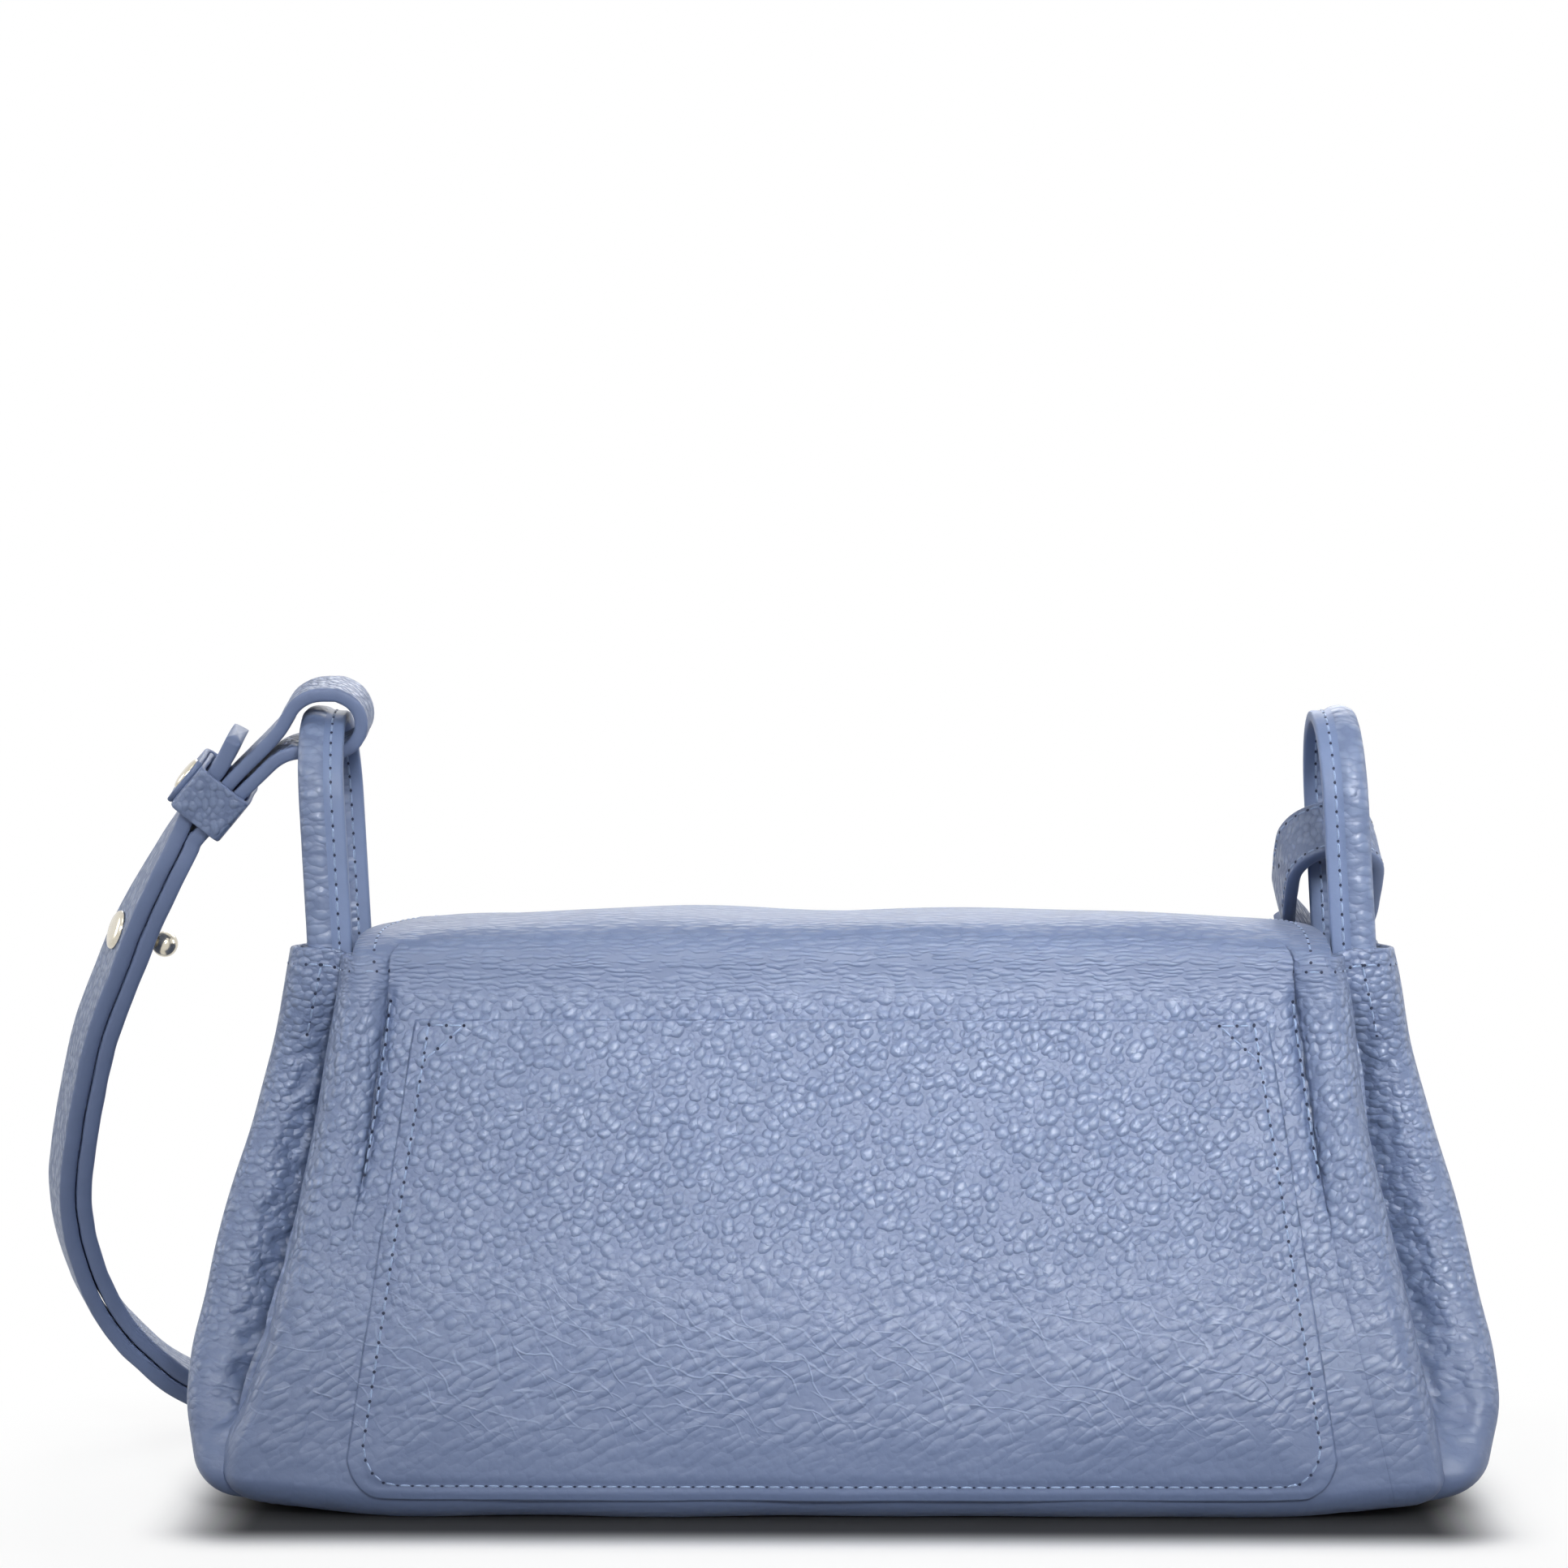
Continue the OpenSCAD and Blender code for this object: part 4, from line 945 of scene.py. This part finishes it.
def strapRows(start, side, end, startThick, endThick):  # one layer's middle line, width direction and thickness
    middle = slice(3, len(route) - 3)
    layer = route[middle] + side * strap["apart"] * routeOut[middle]
    counts = [len(start), len(layer), len(end)]
    across = np.concatenate([np.tile(leftHook["across"], (counts[0], 1)), routeAcross[middle],
                             np.tile(rightHook["across"], (counts[2], 1))])
    thick = np.repeat([startThick, strap["thick"], endThick], counts)[:, None]
    places, across, thick = (smoothPath(each, 4) for each in (np.concatenate([start, layer, end]), across, thick))
    return evenly(places, 1.0, across, thick)


def ribbon(places, across, thick, width, seed, soft=0.55):
    along = tangents(places)
    across = squared(across, along)
    out = np.cross(across, along)
    w = width / 2
    flat = np.linspace(w - soft, -(w - soft), 12)
    edge = np.radians([90, 60, 30, 0, -30, -60, -90])
    section = [(x, 1.0 + 0.035 * math.cos(x / w * math.pi / 2)) for x in flat]
    section += [(-(w - soft) - soft * math.cos(q), math.sin(q)) for q in edge[1:-1]]
    section += [(x, -1.0 - 0.035 * math.cos(x / w * math.pi / 2)) for x in flat[::-1]]
    section += [((w - soft) + soft * math.cos(q), -math.sin(q)) for q in edge[1:-1]]
    section = np.array(section)
    half = thick[:, :1] / 2
    rise = (section[None, :, 1] * half)[..., None]
    grid = places[:, None] + section[None, :, :1] * across[:, None] + rise * out[:, None]
    ripple = waves(grid.reshape(-1, 3), seed, 9, (1, 1, 1)).reshape(grid.shape[:2]) * 0.06
    grid = grid + ripple[..., None] * out[:, None]
    verts, faces, column = cappedTube(grid)
    painted = ((column >= 11) & (column < 17)) | (column >= 28)
    return verts, faces, np.concatenate([painted, np.ones(2 * len(section))])


print("strap")
innerRows = strapRows(leftFold, -1, rightTail, strap["hookThick"], strap["thick"])
outerRows = strapRows(leftTail[::-1], 1, rightFold[::-1], strap["thick"], strap["hookThick"])
for rows, name in ((innerRows, "inner"), (outerRows, "outer")):
    verts, faces, kinds = ribbon(*rows, strap["width"], 91)
    addPiece(name + "StrapLeather", verts, faces, [strapLeather, edgePaint], "strap", [name + "_strap"],
             "strap_leather", kinds)

places, across, thick = outerRows
along = tangents(places)
across = squared(across, along)
away = places - onHook(rightHook, [(0, 4)])
onBend = np.nonzero((away @ rightHook["bend"] > -7) & (np.linalg.norm(away, axis=1) < 20))[0]
bendOut = np.cross(across, along)[onBend]
bendOut *= np.sign((bendOut * away[onBend]).sum(1))[:, None]
for sign in (1, -1):  # the right fold is stitched along both edges
    line = places[onBend] + bendOut * (thick[onBend][:, :1] / 2 + 0.02) + across[onBend] * strap["stitchOut"] * sign
    stitched("strap", line, bendOut, 3.2)
punched = {"Rim": ([(2.25, -0.1), (2.2, 0.04), (2.0, 0.1), (1.8, 0.08), (1.72, 0.03)], edgePaint),
           "PaintedWell": ([(1.76, 0.035), (0, 0.035)], holeShadeFinish)}
for name, (profile, finish) in punched.items():  # the adjustment hole, seen from either face: a painted rim and a flat dark disc of painted shade for its hollow
    parts = []
    for sign in (1, -1):
        spot = onHook(rightHook, [(-arm + sign * strap["hookThick"] * 0.517, 3)])[0]
        parts.append(lathe(profile, spot, rightHook["out"] * sign, 32))
    verts, faces = looseJoin(parts)
    addPiece("strapHole" + name + "Leather", verts, faces, finish, "strap", (), "strap_leather")

# keepers, rivets and studs
keeper = {"long": 12.0, "thick": 1.3, "gap": 0.35, "top": 6.0, "low": 5.6}


def keeperRing(centre, across, out, along):
    w = strap["width"] / 2 + keeper["gap"] + keeper["thick"] / 2
    top, low, r = keeper["top"] + keeper["thick"] / 2, -keeper["low"] - keeper["thick"] / 2, 1.2
    over = top + keeper["thick"] + 0.08
    marks = [(-6.4, over), (0, over), (w - 2.0, over), (w - 0.4, over - 0.9), (w, top - 1.2), (w, 0), (w, low + r),
             (w - r, low), (0, low), (-w + r, low), (-w, low + r), (-w, 0), (-w, top - r), (-w + r, top), (0, top),
             (6.2, top)]
    path = smoothPath(marks, 6)
    points = centre + path[:, :1] * across + path[:, 1:] * out
    points = evenly(points, 0.7)[0]
    along, thick = np.tile(along, (len(points), 1)), np.full((len(points), 1), keeper["thick"])
    return ribbon(points, along, thick, keeper["long"], 93, 0.4)


rivetProfile = [(0, 1.05), (1.2, 1.02), (2.4, 0.92), (3.3, 0.72), (3.9, 0.45), (4.2, 0.1), (4.2, -0.1), (4.0, -0.3),
                (1.3, -0.3), (1.3, -2.4), (0, -2.4)]
studDisc = [(0, 1.35), (2.6, 1.3), (3.9, 1.1), (4.5, 0.8), (4.75, 0.35), (4.75, 0.1), (4.5, -0.1), (1.5, -0.1),
            (1.5, -3.6), (0, -3.6)]
ball = {"radius": 3.1, "height": 4.15}
studBall = [(0, ball["height"] + ball["radius"])] \
    + [(ball["radius"] * math.sin(a), ball["height"] + ball["radius"] * math.cos(a))
       for a in np.radians(range(12, 150, 9))] \
    + [(1.5, 1.4), (1.5, 0.7), (2.6, 0.5), (2.7, 0.0), (1.5, 0.0), (1.5, -3.8), (0, -3.8)]


def metalPiece(name, profile, place, axis, body, node):
    verts, faces = lathe(profile, place, axis, 44)
    addPiece(name, verts, faces[:, ::-1], paleMetal, body, [node], "pale_metal")


print("keepers and metal")
leftOut = np.array([-0.769039, -0.143789, 0.622819])
leftAlong = np.array([-0.639201, 0.172996, -0.749329])
rightOut = -rightHook["out"]
for name, centre, across, out, along in (
        ("left", np.array([-147.076, -0.225, 160.974]), leftHook["across"], leftOut, leftAlong),
        ("right", np.array([116.2, 46.8666, 118.038]), rightHook["across"], rightOut, rightHook["bend"])):
    verts, faces, kinds = keeperRing(centre, across, out, along)
    addPiece(name + "KeeperLeather", verts, faces, [strapLeather, edgePaint], name + "_keeper", [name + "_keeper"],
             "strap_leather", kinds)
    outer = keeper["top"] + 2 * keeper["thick"] + 0.1
    metalPiece(name + "KeeperRivetMetal", rivetProfile, centre + out * outer, out, name + "_keeper",
               name + "_keeper_rivet")
face = strap["apart"] + strap["thick"] / 2 + 0.1
for name, i in (("left", 10), ("right", len(route) - 13)):
    for kind, profile, out in (("Base", studDisc, routeOut[i]), ("Head", studBall, -routeOut[i])):
        metalPiece(name + "Stud" + kind + "Metal", profile, route[i] + out * face, out, "strap",
                   name + "_stud_" + kind.lower())

# magnetic snap
print("snap")
snapOut = unit([0, 0.98, 0.2])
snapDisc = [(0, 1.0), (3.0, 1.0), (3.4, 1.3), (8.3, 1.3), (8.8, 1.1), (9.0, 0.6), (9.0, 0.0), (0, 0.0)]
for name, node, body, turned in (("snapFrontMetal", "snap_female", "bag", 1),
                                 ("snapFlapMetal", "snap_male", "flap", -1)):
    low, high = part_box(node)
    middle = np.array((low + high) / 2) * 1000
    verts, faces = lathe(snapDisc, middle - turned * snapOut * 0.65, snapOut * turned, 48)
    addPiece(name, verts, faces[:, ::-1], snapMetal, body, [node], "snap_metal")

for name, finish in (("base_board", boardFinish), ("snap_washer", snapMetal)):
    solid = bpy.data.objects.get(name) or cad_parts[name]
    for place in solid.material_slots:
        place.material = finish

for body, bag in seams.items():
    for kind, name, finish in (("thread", "Thread", thread), ("holes", "NeedleHoleShades", holeShadeFinish)):
        verts, faces = looseJoin(bag[kind])
        addPiece(body.replace("flapLeather", "flap") + name, verts, faces, finish, body, (),
                 "strap_leather" if body == "strap" else "body_leather")
print("stitches placed")

# floor, light and camera
def straightSeen(path):  # rays that show a surface, rather than light it
    return (path + path.other("Is Glossy Ray") + path.other("Is Transmission Ray")).clamped()


# the floor is white but for a painted contact shadow round the bag's foot, added to the real shadow that the lamps
# cast there
floor, floorShader, floorPlace = newFinish("studioFloor", {"Roughness": 0.9})
path = floorPlace.node("ShaderNodeLightPath")
seen = straightSeen(path)
foot = {"X": 0.13, "Y": 0.06}  # half sizes in metres of the rectangle that the painted shadow rings
beside, before = ((floorPlace.part(axis).size() - half).above(0.0) for axis, half in foot.items())
away = (beside ** 2 + before ** 2) ** 0.5
far = away.ranged(0.01, 0.03) * 0.85 + away.ranged(0.03, 0.1) * 0.15
# painted shadow: the floor's own colour is nearly black at the footprint's edge and whitens 24 mm out
ground = away.ranged(0.0, 0.024).mixed((0.01, 0.011, 0.014, 1), (0.96, 0.96, 0.96, 1))
connect(floorShader, colour=path.mixed((0.25, 0.25, 0.25, 1), ground))
glow = floorPlace.node("ShaderNodeEmission", {}, {"Color": (1, 1, 1, 1)})
blend = floorPlace.node("ShaderNodeMixShader", {},
                        {0: far.clamped() * seen, 1: Wire(floorShader.outputs[0]), 2: glow})
ends = [each for each in floor.node_tree.nodes if each.type == "OUTPUT_MATERIAL"][0]
floor.node_tree.links.new(blend.socket, ends.inputs["Surface"])
sheetVerts = np.array([[x, y, -0.05] for x, y in ((-4000, -3000), (4000, -3000), (4000, 6000), (-4000, 6000))])
addPiece("studioFloorPlane", sheetVerts, [[0, 1, 2, 3]], floor)

world = bpy.data.worlds.new("studio")
scene.world = world
world.use_nodes = True
ground = world.node_tree.nodes["Background"]
path = Wire(world.node_tree.nodes.new("ShaderNodeLightPath").outputs["Is Camera Ray"])
level = 0.25  # what the surroundings light, while they are seen at full white
ground.inputs["Color"].default_value = (1, 1, 1, 1)
world.node_tree.links.new((straightSeen(path) * (1 - level) + level).socket, ground.inputs["Strength"])


def aimed(name, data, place, heading):
    made = bpy.data.objects.new(name, data)
    scene.collection.objects.link(made)
    made.location = place
    made.rotation_mode = "QUATERNION"
    made.rotation_quaternion = Vector(heading).to_track_quat("-Z", "Y")
    return made


lamps = {  # place, aim, width, height, power, spread in degrees
    "softboxRight": ((0.3, -1.05, 0.6), (0.06, -0.04, 0.14), 0.36, 0.3, 0.34, 20),
    "softboxLeft": ((-0.5, -1.0, 0.58), (-0.07, -0.04, 0.14), 0.5, 0.4, 0.19, 30),
    "softboxAbove": ((0, -0.35, 0.95), (0, -0.03, 0.1), 0.8, 0.4, 0.9, 180),
    "softboxBehind": ((0.1, 1.0, 0.8), (0, 0, 0.06), 0.9, 0.4, 5.5, 180),
    "softboxSideRight": ((1.2, 0.2, 0.5), (0, 0, 0.08), 0.5, 0.5, 3, 180),
    "softboxSideLeft": ((-1.2, 0.2, 0.5), (0, 0, 0.08), 0.5, 0.5, 3, 180)}
for name, (place, aim, wide, tall, power, spread) in lamps.items():
    light = bpy.data.lights.new(name, "AREA")
    light.shape = "RECTANGLE"
    light.size, light.size_y = wide, tall
    light.energy = power
    light.spread = math.radians(spread)
    aimed(name, light, place, Vector(aim) - Vector(place))

photo = {"lens": 97.83, "sensor": 36, "place": (0, -1.0, 0.185),
         "focal": 5250, "aim": (-70.5, -110.5)}  # both in pixels
camera = bpy.data.cameras.new("photoCamera")
camera.lens, camera.sensor_width = photo["lens"], photo["sensor"]
right, up = photo["aim"]
scene.camera = aimed("photoCamera", camera, photo["place"], (right / photo["focal"], 1, up / photo["focal"]))
